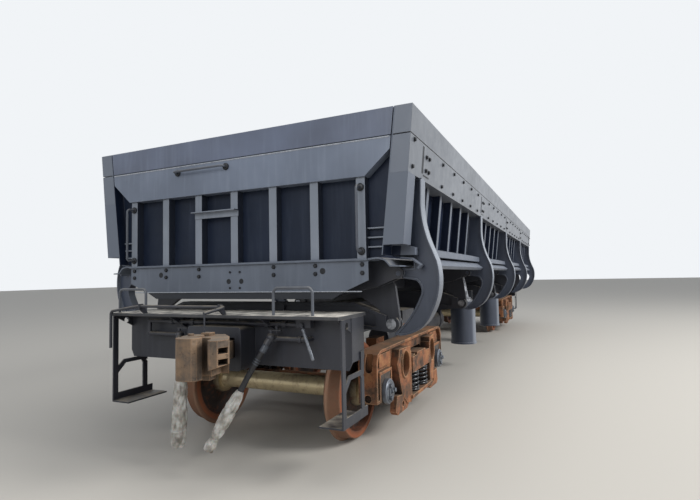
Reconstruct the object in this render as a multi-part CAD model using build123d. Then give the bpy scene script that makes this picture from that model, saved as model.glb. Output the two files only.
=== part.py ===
from build123d import *
import math
import os

# Side dump car: a four-axle railway wagon whose box tips to either side.
# Units are millimetres. +X runs along the car towards end A, +Y to its right side, +Z up.
# Heights in this file count from the top of the rail. The finished pieces are lifted by the
# depth of the wheel flanges, so that the car stands with its flanges on the plane Z = 0.

# Rail and wheels
FLANGE_DEPTH = 28.0
TREAD_RADIUS = 420.0
BACK_TO_BACK = 1353.0
RIM_WIDTH = 135.0
FLANGE_WIDTH = 32.0
RIM_THICKNESS = 62.0
WHEEL_PLATE = 24.0
HUB_RADIUS = 135.0
HUB_LENGTH = 178.0
AXLE_RADIUS = 88.0
WHEEL_SEAT_RADIUS = 97.0
JOURNAL_RADIUS = 65.0
JOURNAL_CENTRE_Y = 978.0
BEARING_RADIUS = 115.0
BEARING_LENGTH = 160.0
CAP_RADIUS = 106.0
CAP_LENGTH = 44.0
RUNNING_CLEARANCE = 0.3
MOVING_GAP = 8.0

# Bogies
BOGIE_CENTRE_X = 4175.0
AXLE_BASE = 1750.0
SIDE_FRAME_TOP = 790.0
CHORD_WIDTH = 170.0
COLUMN_WIDTH = 290.0
SEAT_WIDTH = 330.0
SPRING_SEAT_Z = 270.0
SEAT_PLATE = 30.0
COLUMN_PLATE = 34.0
SPRING_TOP_Z = 470.0
SPRING_COIL_RADIUS = 72.0
SPRING_WIRE = 24.0
SPRING_TURNS = 5
SPRING_SPOTS = ((-150.0, 78.0), (150.0, 78.0), (0.0, 0.0), (-150.0, -78.0), (150.0, -78.0))
WINDOW_HALF = 330.0
WINDOW_TOP = 665.0
JAW_HALF = 125.0
PEDESTAL_DEPTH = 90.0
PEDESTAL_FOOT = 350.0
FRAME_RIM = 24.0
FRAME_WEB_HALF = 42.0
OVAL_WIDTH = 180.0
OVAL_HEIGHT = 235.0
ADAPTER_TOP = 575.0
CENTRE_PLATE_Z = 700.0
CENTRE_PLATE_RADIUS = 170.0

# Underframe
SILL_HALF_WIDTH = 215.0
SILL_BOTTOM = 725.0
SILL_TOP = 1100.0
SILL_PLATE = 14.0
UNDERFRAME_LENGTH = 11660.0
END_BEAM_HALF = 1100.0
END_BEAM_BOTTOM = 735.0
END_BEAM_DEPTH = 220.0
END_BEAM_PLATE = 12.0
PLATFORM_TOP = 1140.0
PLATFORM_THICKNESS = 26.0
PLATFORM_FRONT = 6050.0
PLATFORM_BACK = 5570.0
PLATFORM_HALF = 1100.0
COUPLER_Z = 880.0
COUPLER_REACH = 6530.0
SHANK_HALF_WIDTH = 70.0
SHANK_HALF_HEIGHT = 65.0
STRIKER_DEPTH = 190.0
STRIKER_MOUTH_HALF = 205.0
STRIKER_RIM = 55.0
COUPLER_PIVOT_X = 5280.0
COUPLER_SWING = 9.0
HEAD_HALF_HEIGHT = 130.0
KNUCKLE_HALF_HEIGHT = 142.0
KNUCKLE_HUB_HALF = 100.0
KNUCKLE_PIN_RADIUS = 21.0
ROD_RADIUS = 12.0
PIPE_RADIUS = 17.0
PIPE_X = PLATFORM_FRONT - 150
PIPE_DROP = 48.0
LOWER_PIPE_DROP = 158.0
HOSE_RADIUS = 22.0
GUSSET_PLATE = 12.0
COCK_REACH = 66.0
COCK_RADIUS = 34.0
OUTRIGGER_TOP = 1200.0
OUTRIGGER_PLATE = 25.0
OUTRIGGER_WIDTH = 100.0

BRAKE_CYLINDER_X = 2480.0

# Hoses at end A, each from its cock to the middle of its film
BRAKE_HOSE = ((5962.0, 452.0, 912.0), (6008.0, 405.0, 810.0), (6056.0, 356.0, 700.0), (6094.0, 312.0, 590.0))
TIPPING_HOSE = (
    (5968.0, -398.0, 912.0), (6024.0, -345.0, 828.0), (6072.0, -290.0, 738.0), (6094.0, -258.0, 640.0),
)
BRAKE_FILM = ((0, 27), (40, 40), (120, 50), (230, 52), (330, 44), (380, 30), (430, 46), (470, 40))
TIPPING_FILM = ((0, 40), (60, 58), (180, 56), (300, 63), (400, 60), (480, 64), (520, 50))

# Tipping gear
PIVOT_Y = 1240.0
PIVOT_Z = 1030.0
PIVOT_RADIUS = 42.0
PIVOT_HEAD_RADIUS = 66.0
TONGUE_THICKNESS = 38.0
CYLINDER_X = 1365.0
CYLINDER_Y = 1000.0
TRUNNION_Z = 960.0
TRUNNION_RADIUS = 32.0
BARREL_RADIUS = 190.0
BARREL_WALL = 12.0
BARREL_FOOT = 335.0
BARREL_HEAD = 985.0
STAGE_RADII = (166.0, 142.0, 118.0)
STAGE_WALL = 11.0
GLAND_HEIGHT = 40.0
PISTON_HEIGHT = 20.0
EYE_Z = 1400.0
EYE_RADIUS = 48.0
EYE_WIDTH = 76.0

# Box that carries the load
BODY_LENGTH = 11550.0
FLOOR_TOP = 1546.0
FLOOR_PLATE = 16.0
FLOOR_HALF = 1204.0
FRAME_BOTTOM = 1250.0
BEAM_Y = (330.0, 520.0)
BEAM_WALL = 12.0
WALL_FOOT_Z = 1637.0
WALL_TOP_Z = 2635.0
SEAM_Z = 2433.0
SEAM_GAP = 8.0
BAND_FOOT_Z = 2150.0
OUTER_FOOT_Y = 1486.0
OUTER_TOP_Y = 1583.0
INNER_FOOT_Y = 1330.0
INNER_TOP_Y = 1445.0
SHEET = 8.0
DOOR_FOOT_Z = 1565.0
RAIL_FACE_Y = 1515.0
RAIL_TOP_Z = 1648.0
POST_WIDTH = 175.0
END_RIB_WIDTH = 72.0
END_RIB_CENTRES = (-1158.0, -765.0, -385.0, 0.0, 385.0, 765.0, 1158.0)
END_RECESS = 95.0
END_SILL_BOTTOM = 1303.0
END_SILL_DEPTH = 60.0
DOOR_RIB_WIDTH = 66.0
DOOR_RIB_DEPTH = 85.0
DOOR_RIBS_PER_BAY = 5

# Door arms, one at each station along the car
ARM_SPACING = 2730.0
ARM_WIDTH = 80.0
ARM_WEB = 56.0
ARM_RIM = 13.0
HINGE_Y = 1360.0
HINGE_Z = 1430.0
HINGE_RADIUS = 20.0
HINGE_LUG_RADIUS = 40.0
BEARER_PLATE = 22.0
BEARER_GAP = 10.0

END_X = BODY_LENGTH / 2
STATIONS = tuple(ARM_SPACING * step for step in (-2, -1, 0, 1, 2))


def outer_y(z):
    """Distance from the centre line to the outer face of a side door at height z."""
    lean = (OUTER_TOP_Y - OUTER_FOOT_Y) / (WALL_TOP_Z - WALL_FOOT_Z)
    return OUTER_FOOT_Y + lean * (z - WALL_FOOT_Z)


def inner_y(z):
    """Distance from the centre line to the face of a side door that holds the load."""
    lean = (INNER_TOP_Y - INNER_FOOT_Y) / (WALL_TOP_Z - WALL_FOOT_Z)
    return INNER_FOOT_Y + lean * (z - WALL_FOOT_Z)


def block(x, y, z):
    """Rectangular bar between the two values given for each direction."""
    size = (x[1] - x[0], y[1] - y[0], z[1] - z[0])
    centre = ((x[0] + x[1]) / 2, (y[0] + y[1]) / 2, (z[0] + z[1]) / 2)
    return Pos(*centre) * Box(*size)


def plate_x(outline, x):
    """Plate across the car: an outline of (y, z) points or a sketch, from x[0] to x[1]."""
    face = Polygon(*outline, align=None) if isinstance(outline, (list, tuple)) else outline
    return extrude(Plane.YZ.offset(x[0]) * face, x[1] - x[0], dir=(1, 0, 0))


def plate_y(outline, y):
    """Plate along the car: an outline of (x, z) points or a sketch, from y[0] to y[1]."""
    face = Polygon(*outline, align=None) if isinstance(outline, (list, tuple)) else outline
    return extrude(Plane.XZ.offset(-y[0]) * face, y[1] - y[0], dir=(0, 1, 0))


def plate_z(outline, z):
    """Level plate: an outline of (x, y) points or a sketch, from z[0] to z[1]."""
    face = Polygon(*outline, align=None) if isinstance(outline, (list, tuple)) else outline
    return extrude(Plane.XY.offset(z[0]) * face, z[1] - z[0], dir=(0, 0, 1))


def bar_x(radius, x, y, z):
    """Round bar along the car from x[0] to x[1]."""
    return extrude(Plane.YZ.offset(x[0]) * Pos(y, z) * Circle(radius), x[1] - x[0])


def bar_y(radius, x, y, z):
    """Round bar across the car from y[0] to y[1]."""
    return extrude(Plane.XZ.offset(-y[1]) * Pos(x, z) * Circle(radius), y[1] - y[0])


def bar_z(radius, x, y, z):
    """Upright round bar from z[0] to z[1]."""
    return extrude(Plane.XY.offset(z[0]) * Pos(x, y) * Circle(radius), z[1] - z[0])


def joined(*pieces):
    """One solid from pieces that touch."""
    return pieces[0].fuse(*pieces[1:]).clean() if len(pieces) > 1 else pieces[0]


def to_left(piece):
    """The same piece on the left side of the car."""
    return mirror(piece, Plane.XZ)


def to_end_b(piece):
    """The same piece at end B."""
    return mirror(piece, Plane.YZ)


def pipe(points, radius, bend):
    """Bent round bar or pipe through the points, with the given bend radius."""
    path = FilletPolyline(*points, radius=bend)
    start = Plane(origin=path @ 0, z_dir=path % 0)
    return sweep(start * Circle(radius), path=path)


nodes = {}


def add(name, *pieces):
    """Keeps the solids of one named piece."""
    nodes.setdefault(name, []).extend(pieces)


# Wheelsets: an axle with its two wheels, turned as one profile about the axle line
def wheelset(centre_x):
    """Axle and wheels from one half profile of (y, radius) points, revolved and mirrored."""
    back = BACK_TO_BACK / 2
    front = back + RIM_WIDTH
    hub_back = back + (RIM_WIDTH - HUB_LENGTH) / 2
    hub_front = hub_back + HUB_LENGTH
    rim_inner = TREAD_RADIUS - RIM_THICKNESS
    plate_out = back + RIM_WIDTH / 2 + WHEEL_PLATE / 2
    plate_in = back + RIM_WIDTH / 2 - WHEEL_PLATE / 2
    end = JOURNAL_CENTRE_Y + BEARING_LENGTH / 2
    profile = [
        (0, 0),
        (0, AXLE_RADIUS),
        (hub_back - 60, AXLE_RADIUS),
        (hub_back - 20, WHEEL_SEAT_RADIUS),
        (hub_back, WHEEL_SEAT_RADIUS),
        (hub_back, HUB_RADIUS),
        (plate_in - 14, HUB_RADIUS + 18),
        (plate_in + 12, (HUB_RADIUS + rim_inner) / 2),
        (plate_in - 10, rim_inner - 12),
        (back, rim_inner),
        (back, TREAD_RADIUS + FLANGE_DEPTH - 9),
        (back + 9, TREAD_RADIUS + FLANGE_DEPTH),
        (back + 17, TREAD_RADIUS + FLANGE_DEPTH),
        (back + FLANGE_WIDTH, TREAD_RADIUS + 3),
        (back + FLANGE_WIDTH + 14, TREAD_RADIUS),
        (front - 6, TREAD_RADIUS - 4),
        (front, TREAD_RADIUS - 10),
        (front, rim_inner),
        (plate_out - 4, rim_inner - 12),
        (plate_out + 18, (HUB_RADIUS + rim_inner) / 2),
        (plate_out + 14, HUB_RADIUS + 18),
        (hub_front, HUB_RADIUS),
        (hub_front, WHEEL_SEAT_RADIUS),
        (hub_front + 12, JOURNAL_RADIUS + 14),
        (JOURNAL_CENTRE_Y - BEARING_LENGTH / 2 - 4, JOURNAL_RADIUS + 14),
        (JOURNAL_CENTRE_Y - BEARING_LENGTH / 2 - 4, JOURNAL_RADIUS),
        (end + 4, JOURNAL_RADIUS),
        (end + 4, CAP_RADIUS),
        (end + CAP_LENGTH - 8, CAP_RADIUS),
        (end + CAP_LENGTH, CAP_RADIUS - 12),
        (end + CAP_LENGTH, 0),
    ]
    half = revolve(Plane.XY * Polygon(*[(r, y) for y, r in profile], align=None), Axis.Y)
    placed = Pos(centre_x, 0, TREAD_RADIUS) * half
    return joined(placed, to_left(placed))


AXLES = (
    ("wheelset_1", BOGIE_CENTRE_X + AXLE_BASE / 2),
    ("wheelset_2", BOGIE_CENTRE_X - AXLE_BASE / 2),
    ("wheelset_3", -BOGIE_CENTRE_X + AXLE_BASE / 2),
    ("wheelset_4", -BOGIE_CENTRE_X - AXLE_BASE / 2),
)
for name, axle_x in AXLES:
    add(name, wheelset(axle_x))


# Bogies: cast side frames, bolster, spring nests, bearings in their adapters, brake beams
def side_frame():
    """One cast side frame on the right, about a bogie centre at X = 0, with a rim all round."""
    axle = AXLE_BASE / 2
    jaw_out, jaw_in = axle + JAW_HALF, axle - JAW_HALF
    tip = jaw_out + PEDESTAL_DEPTH
    column_out = WINDOW_HALF + COLUMN_PLATE
    seat_bottom = SPRING_SEAT_Z - SEAT_PLATE
    half = [
        (0, SIDE_FRAME_TOP),
        (tip - 110, SIDE_FRAME_TOP - 6),
        (tip - 34, SIDE_FRAME_TOP - 36),
        (tip, SIDE_FRAME_TOP - 110),
        (tip, PEDESTAL_FOOT),
        (jaw_out, PEDESTAL_FOOT),
        (jaw_out, ADAPTER_TOP),
        (jaw_in, ADAPTER_TOP),
        (jaw_in, PEDESTAL_FOOT),
        (jaw_in - 40, PEDESTAL_FOOT - 70),
        (column_out + 10, seat_bottom - 60),
        (0, seat_bottom - 70),
    ]
    outline = half + [(-x, z) for x, z in reversed(half[1:-1])]
    face = Polygon(*outline, align=None)
    window_height = WINDOW_TOP - SPRING_SEAT_Z
    window = Pos(0, SPRING_SEAT_Z + window_height / 2) * RectangleRounded(
        2 * WINDOW_HALF, window_height, 45
    )
    oval = RectangleRounded(OVAL_WIDTH, OVAL_HEIGHT, OVAL_WIDTH / 2 - 2)
    oval_x = column_out + OVAL_WIDTH / 2 + 14
    oval_z = WINDOW_TOP - 80
    ovals = [Pos(sign * oval_x, oval_z) * oval for sign in (-1, 1)]
    rings = [Pos(sign * oval_x, oval_z) * (offset(oval, 16) - oval) for sign in (-1, 1)]
    wide = CHORD_WIDTH / 2
    web = plate_y(face - window - ovals, (-FRAME_WEB_HALF, FRAME_WEB_HALF))
    rim = plate_y(face - offset(face, -FRAME_RIM, kind=Kind.INTERSECTION), (-wide, wide))
    pieces = [web, rim]
    cheek_plan = [
        (WINDOW_HALF + 20, -110), (jaw_in - 130, -85), (jaw_in, -60), (jaw_in, 60), (jaw_in - 130, 118),
        (WINDOW_HALF + 20, COLUMN_WIDTH / 2),
    ]
    cheek_face = [
        (WINDOW_HALF + 20, 205), (440, 215), (540, 300), (560, 330), (600, 440), (640, 600), (600, 735),
        (WINDOW_HALF + 20, 735),
    ]
    cheek = plate_y(cheek_face, (-200, 200)) & plate_z(cheek_plan, (0, 1000))
    for sign, hole, ring in zip((-1, 1), ovals, rings):
        side = cheek if sign > 0 else to_end_b(cheek)
        pieces.append(side - plate_y(hole, (-201, 201)))
        pieces.append(plate_y(ring, (-106, 138)))
    reach = COLUMN_WIDTH / 2
    for sign in (-1, 1):
        span = tuple(sorted((sign * WINDOW_HALF, sign * column_out)))
        pieces.append(block(span, (-reach, reach), (seat_bottom, WINDOW_TOP + 20)))
        lug = Polygon(
            (sign * 400, 300), (sign * 700, 335), (sign * 735, 200), (sign * 690, 165),
            (sign * 420, 165), (sign * 370, 200), align=None,
        )
        bored = lug - Pos(sign * 535, 230) * Circle(25)
        pieces.append(plate_y(bored, (wide - 25, wide + 37)))
        pad = tuple(sorted((sign * (jaw_in - 70), sign * (jaw_out - 50))))
        pieces.append(block(pad, (FRAME_WEB_HALF - 1, FRAME_WEB_HALF + 12), (ADAPTER_TOP + 50, 735)))
    pieces.append(
        block((-column_out, column_out), (-SEAT_WIDTH / 2, SEAT_WIDTH / 2), (seat_bottom, SPRING_SEAT_Z))
    )
    whole = joined(*pieces)
    for sign in (-1, 1):
        depth = tuple(sorted((sign * (tip - PEDESTAL_DEPTH / 2), sign * (tip + 1))))
        slot = Pos(10, PEDESTAL_FOOT + 340) * SlotCenterToCenter(110, 62, 90)
        arch = Pos(0, PEDESTAL_FOOT + 40) * RectangleRounded(62, 62, 28)
        whole -= plate_x(slot, depth)
        whole -= plate_x(arch, depth)
    return Pos(0, JOURNAL_CENTRE_Y, 0) * whole


def bolster():
    """Cast bolster through both side frames, with the centre bowl and the wedge ends."""
    neck = 150.0
    frame_gap = COLUMN_WIDTH / 2 + 6
    profile = [
        (0, CENTRE_PLATE_Z - 40),
        (JOURNAL_CENTRE_Y - 360, CENTRE_PLATE_Z - 40),
        (JOURNAL_CENTRE_Y - frame_gap - 40, WINDOW_TOP - 20),
        (JOURNAL_CENTRE_Y + frame_gap, WINDOW_TOP - 20),
        (JOURNAL_CENTRE_Y + frame_gap, SPRING_TOP_Z),
        (JOURNAL_CENTRE_Y - frame_gap, SPRING_TOP_Z),
        (JOURNAL_CENTRE_Y - 380, 430),
        (0, 400),
    ]
    half = plate_x(profile, (-neck, neck))
    bowl = bar_z(CENTRE_PLATE_RADIUS + 30, 0, 0, (CENTRE_PLATE_Z - 40, CENTRE_PLATE_Z - 12))
    pieces = [half, to_left(half), bowl]
    wedge_low = WINDOW_HALF - RUNNING_CLEARANCE
    for sign in (-1, 1):
        wedge = [
            (sign * neck, WINDOW_TOP - 30),
            (sign * wedge_low, WINDOW_TOP - 60),
            (sign * wedge_low, SPRING_TOP_Z),
            (sign * neck, SPRING_TOP_Z),
        ]
        plug = plate_y(wedge, (JOURNAL_CENTRE_Y - 95, JOURNAL_CENTRE_Y + 130))
        pieces += [plug, to_left(plug)]
    lip = block(
        (-WINDOW_HALF + 30, WINDOW_HALF - 30),
        (JOURNAL_CENTRE_Y + 112, JOURNAL_CENTRE_Y + frame_gap),
        (SPRING_TOP_Z, WINDOW_TOP - 45),
    )
    pieces += [lip, to_left(lip)]
    for sign in (-1, 1):
        bearer = block((-110, 110), (560, 680), (CENTRE_PLATE_Z - 40, CENTRE_PLATE_Z + 60))
        pieces.append(bearer if sign > 0 else to_left(bearer))
    return joined(*pieces)


def spring_nest():
    """Coil springs of one nest, each a round stack of rings that carries the bolster's end."""
    height = SPRING_TOP_Z - SPRING_SEAT_Z
    pitch = height / SPRING_TURNS
    core = SPRING_COIL_RADIUS - SPRING_WIRE
    half = [(0, 0), (core, 0)]
    for turn in range(SPRING_TURNS):
        low = turn * pitch
        half += [(SPRING_COIL_RADIUS, low + 0.3 * pitch), (core, low + 0.78 * pitch)]
    half += [(core, height), (0, height)]
    coil = revolve(Plane.XZ * Polygon(*half, align=None), Axis.Z)
    return [Pos(x, JOURNAL_CENTRE_Y + y, SPRING_SEAT_Z) * coil for x, y in SPRING_SPOTS]


def bearing(axle_x):
    """Cartridge bearing and its adapter, seated in the roof of the side frame's jaw."""
    y = (JOURNAL_CENTRE_Y - BEARING_LENGTH / 2, JOURNAL_CENTRE_Y + BEARING_LENGTH / 2)
    shell = bar_y(BEARING_RADIUS, axle_x, y, TREAD_RADIUS)
    wide = JAW_HALF - 6
    saddle = block(
        (axle_x - wide, axle_x + wide), y, (TREAD_RADIUS + 55, ADAPTER_TOP)
    )
    bore = bar_y(JOURNAL_RADIUS + RUNNING_CLEARANCE, axle_x, (y[0] - 1, y[1] + 1), TREAD_RADIUS)
    return joined(shell, saddle) - bore


def brake_beam(axle_x, side):
    """Brake beam between the side frames' columns, with a shoe before each tread."""
    face_x = axle_x - side * (TREAD_RADIUS + 14)
    beam_x = face_x - side * 90
    reach = JOURNAL_CENTRE_Y - COLUMN_WIDTH / 2 - RUNNING_CLEARANCE
    beam = bar_y(38, beam_x, (-reach, reach), TREAD_RADIUS - 40)
    pieces = [beam]
    for hand in (-1, 1):
        middle = hand * (BACK_TO_BACK / 2 + FLANGE_WIDTH + 52)
        ring = Pos(axle_x, TREAD_RADIUS) * (
            Circle(TREAD_RADIUS + 64) - Circle(TREAD_RADIUS + 14)
        )
        wedge = Polygon(
            (axle_x, TREAD_RADIUS),
            (axle_x - side * 700, TREAD_RADIUS + 160),
            (axle_x - side * 700, TREAD_RADIUS - 270),
            align=None,
        )
        shoe = plate_y(ring & wedge, (middle - 40, middle + 40))
        head_x = tuple(sorted((face_x - side * 40, beam_x)))
        head = block(head_x, (middle - 30, middle + 30), (TREAD_RADIUS - 80, TREAD_RADIUS))
        pieces += [shoe, head]
    return joined(*pieces)


for end_name, centre_x in (("a", BOGIE_CENTRE_X), ("b", -BOGIE_CENTRE_X)):
    frame = Pos(centre_x, 0, 0) * side_frame()
    add(f"bogie_{end_name}_side_frames", frame, to_left(frame))
    add(f"bogie_{end_name}_bolster", Pos(centre_x, 0, 0) * bolster())
    for coil in spring_nest():
        placed = Pos(centre_x, 0, 0) * coil
        add(f"bogie_{end_name}_springs", placed, to_left(placed))
    for side in (-1, 1):
        seat = bearing(centre_x + side * AXLE_BASE / 2)
        add(f"bogie_{end_name}_bearings", seat, to_left(seat))
        add(f"bogie_{end_name}_brake_beams", brake_beam(centre_x + side * AXLE_BASE / 2, side))


# Underframe: boxed centre sill with the body bolsters and centre plates
def centre_sill():
    """Boxed centre sill along the car, with a bolster box over each bogie."""
    half_x = UNDERFRAME_LENGTH / 2 - END_BEAM_PLATE
    shell = block(
        (-half_x, half_x), (-SILL_HALF_WIDTH, SILL_HALF_WIDTH), (SILL_BOTTOM, SILL_TOP)
    )
    inside = SILL_HALF_WIDTH - SILL_PLATE
    hollow = block(
        (-half_x - 1, half_x + 1), (-inside, inside), (SILL_BOTTOM + SILL_PLATE, SILL_TOP - SILL_PLATE)
    )
    pieces = [shell - hollow]
    for sign in (-1, 1):
        x = (sign * BOGIE_CENTRE_X - 190, sign * BOGIE_CENTRE_X + 190)
        wing = [
            (SILL_HALF_WIDTH, SILL_TOP),
            (1000, 1060),
            (1000, 930),
            (SILL_HALF_WIDTH, 800),
        ]
        right = plate_x(wing, x)
        pieces += [right, to_left(right)]
    return joined(*pieces)


def centre_plate(centre_x):
    """Round centre plate with its pin, which turns in the bolster's bowl."""
    gap = RUNNING_CLEARANCE
    plate = bar_z(CENTRE_PLATE_RADIUS, centre_x, 0, (CENTRE_PLATE_Z - 12 + gap, SILL_BOTTOM))
    return plate


add("centre_sill", centre_sill())
for sign in (-1, 1):
    add("centre_sill", centre_plate(sign * BOGIE_CENTRE_X))


# Outriggers: tapered cantilevers whose forked ends carry the pivot pins
def station_span(station, low, high):
    """Range along the car for a piece beside a door arm, on the arm's inner side."""
    side = 1 if station >= 0 else -1
    return tuple(sorted((station - side * low, station - side * high)))


BEARER_NEAR = ARM_WIDTH / 2 + BEARER_GAP
OUTRIGGER_NEAR = BEARER_NEAR + BEARER_PLATE + MOVING_GAP
FORK_ROOT_Y = PIVOT_Y - PIVOT_HEAD_RADIUS - 44


def outrigger(station):
    """One pair of cantilevers across the sill, forked round the tongue at each end."""
    root = [
        (SILL_HALF_WIDTH, 810),
        (900, 1000),
        (PIVOT_Y, PIVOT_Z - PIVOT_HEAD_RADIUS),
        (PIVOT_Y, PIVOT_Z + 50),
        (920, OUTRIGGER_TOP),
        (SILL_HALF_WIDTH, OUTRIGGER_TOP),
    ]
    face = Polygon(*root, align=None) + Pos(PIVOT_Y, PIVOT_Z) * Circle(PIVOT_HEAD_RADIUS)
    seat = PIVOT_RADIUS + RUNNING_CLEARANCE
    slot = Pos(PIVOT_Y, PIVOT_Z) * Circle(seat) + Pos(PIVOT_Y, PIVOT_Z + 100) * Rectangle(
        2 * seat, 200
    )
    near, far = OUTRIGGER_NEAR, OUTRIGGER_NEAR + OUTRIGGER_WIDTH
    body = plate_x(face - slot, station_span(station, near, far))
    fork = station_span(station, near + OUTRIGGER_PLATE, far - OUTRIGGER_PLATE)
    body -= block(fork, (FORK_ROOT_Y, PIVOT_Y + 200), (PIVOT_Z - 200, PIVOT_Z + 200))
    inner = offset(Polygon(*root, align=None), -OUTRIGGER_PLATE)
    pocket = inner - Pos(FORK_ROOT_Y + 480, PIVOT_Z) * Rectangle(1000, 800)
    for low, high in ((near - 1, near + 28), (far - 28, far + 1)):
        body -= plate_x(pocket, station_span(station, low, high))
    cover = block(
        station_span(station, near, far),
        (-SILL_HALF_WIDTH, SILL_HALF_WIDTH),
        (SILL_TOP, OUTRIGGER_TOP),
    )
    return joined(body, to_left(body), cover)


def pivot_pin(station):
    """Pin that lies in the fork's two seats."""
    near, far = OUTRIGGER_NEAR - 5, OUTRIGGER_NEAR + OUTRIGGER_WIDTH + 5
    return bar_x(PIVOT_RADIUS, station_span(station, near, far), PIVOT_Y, PIVOT_Z)


for station in STATIONS:
    add("outriggers", outrigger(station))
    add("right_pivot_pins", pivot_pin(station))
    add("left_pivot_pins", to_left(pivot_pin(station)))


# Ends of the underframe: end beam, platform, handrails, steps, coupler
def end_beam():
    """End plate with returned sides and an opening for the coupler's shank."""
    front = UNDERFRAME_LENGTH / 2
    x = (front - END_BEAM_PLATE, front)
    top = PLATFORM_TOP - PLATFORM_THICKNESS
    corner = 60.0
    outline = [
        (-END_BEAM_HALF, top),
        (END_BEAM_HALF, top),
        (END_BEAM_HALF, END_BEAM_BOTTOM + corner),
        (END_BEAM_HALF - corner / 2, END_BEAM_BOTTOM),
        (-END_BEAM_HALF + corner / 2, END_BEAM_BOTTOM),
        (-END_BEAM_HALF, END_BEAM_BOTTOM + corner),
    ]
    mouth = Pos(0, COUPLER_Z) * Rectangle(2 * STRIKER_MOUTH_HALF, 260)
    plate = plate_x(Polygon(*outline, align=None) - mouth, x)
    carrier = COUPLER_Z - SHANK_HALF_HEIGHT - RUNNING_CLEARANCE
    throat = COUPLER_Z + SHANK_HALF_HEIGHT + 20
    opening = Pos(0, (carrier + throat) / 2) * Rectangle(2 * STRIKER_MOUTH_HALF, throat - carrier)
    striker = Pos(0, COUPLER_Z) * RectangleRounded(2 * (STRIKER_MOUTH_HALF + STRIKER_RIM), 330, 30)
    pieces = [plate, plate_x(striker - opening, (x[0], front + STRIKER_DEPTH))]
    for sign in (-1, 1):
        y = tuple(sorted((sign * END_BEAM_HALF, sign * (END_BEAM_HALF - END_BEAM_PLATE))))
        pieces.append(block((front - END_BEAM_DEPTH, x[0]), y, (END_BEAM_BOTTOM + corner, top)))
    top_flange = block(
        (front - END_BEAM_DEPTH, x[0]), (-END_BEAM_HALF, END_BEAM_HALF), (top - 12, top)
    )
    keep = block((0, x[0]), (-SILL_HALF_WIDTH, SILL_HALF_WIDTH), (0, SILL_TOP + 1))
    pieces.append(top_flange - keep)
    gusset = Polygon((front, top), (front, top - 105), (PLATFORM_FRONT - 12, top), align=None)
    gusset -= Pos(PIPE_X, top - PIPE_DROP) * Circle(PIPE_RADIUS + 8)
    for y in (-END_BEAM_HALF + 6, -452.0, 440.0, END_BEAM_HALF - 18):
        pieces.append(plate_y(gusset, (y, y + GUSSET_PLATE)))
    return joined(*pieces)


def end_platform():
    """Bent platform plate over the end beam, with its front edge turned down."""
    top = PLATFORM_TOP
    low = top - PLATFORM_THICKNESS
    deck = block((PLATFORM_BACK, PLATFORM_FRONT), (-PLATFORM_HALF, PLATFORM_HALF), (low, top))
    return deck.fillet(8, deck.edges().filter_by(Axis.Y).group_by(Axis.X)[-1][-1:])


def handrail(y_low, y_high):
    """Bent round iron that stands on the platform."""
    x = PLATFORM_FRONT - 50
    head = 1340.0
    points = [
        (x, y_low, PLATFORM_TOP),
        (x, y_low, head),
        (x, y_high, head),
        (x, y_high, PLATFORM_TOP),
    ]
    return pipe(points, 11, 40)


def step():
    """Stirrup step on the right of end A: two flat bars, a tie bar and a tread."""
    y = (END_BEAM_HALF, END_BEAM_HALF + 12)
    front, back = PLATFORM_FRONT - 30, UNDERFRAME_LENGTH / 2 - END_BEAM_DEPTH
    low, shoulder = 370.0, 720.0
    tie = [(front - 50, shoulder - 50), (front - 110, shoulder), (back + 90, shoulder),
           (back + 40, shoulder - 60), (back + 40, low + 70), (back + 90, low + 70),
           (back + 90, shoulder - 60), (back + 110, shoulder - 34),
           (front - 130, shoulder - 34), (front - 50, shoulder - 110)]
    bars = [
        block((front - 50, front), y, (low, PLATFORM_TOP - PLATFORM_THICKNESS)),
        plate_y(tie, y),
        block((back + 40, back + 90), y, (shoulder - 40, END_BEAM_BOTTOM + 120)),
        block((back - 20, front), (END_BEAM_HALF - 180, END_BEAM_HALF + 12), (low, low + 12)),
        block((back - 20, front), y, (low, low + 70)),
    ]
    return joined(*bars)


def swung(piece):
    """The coupler's pieces hang a little to the right, turned about the draft pin."""
    return Pos(COUPLER_PIVOT_X, 0, 0) * Rot(0, 0, COUPLER_SWING) * Pos(-COUPLER_PIVOT_X, 0, 0) * piece


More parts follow.
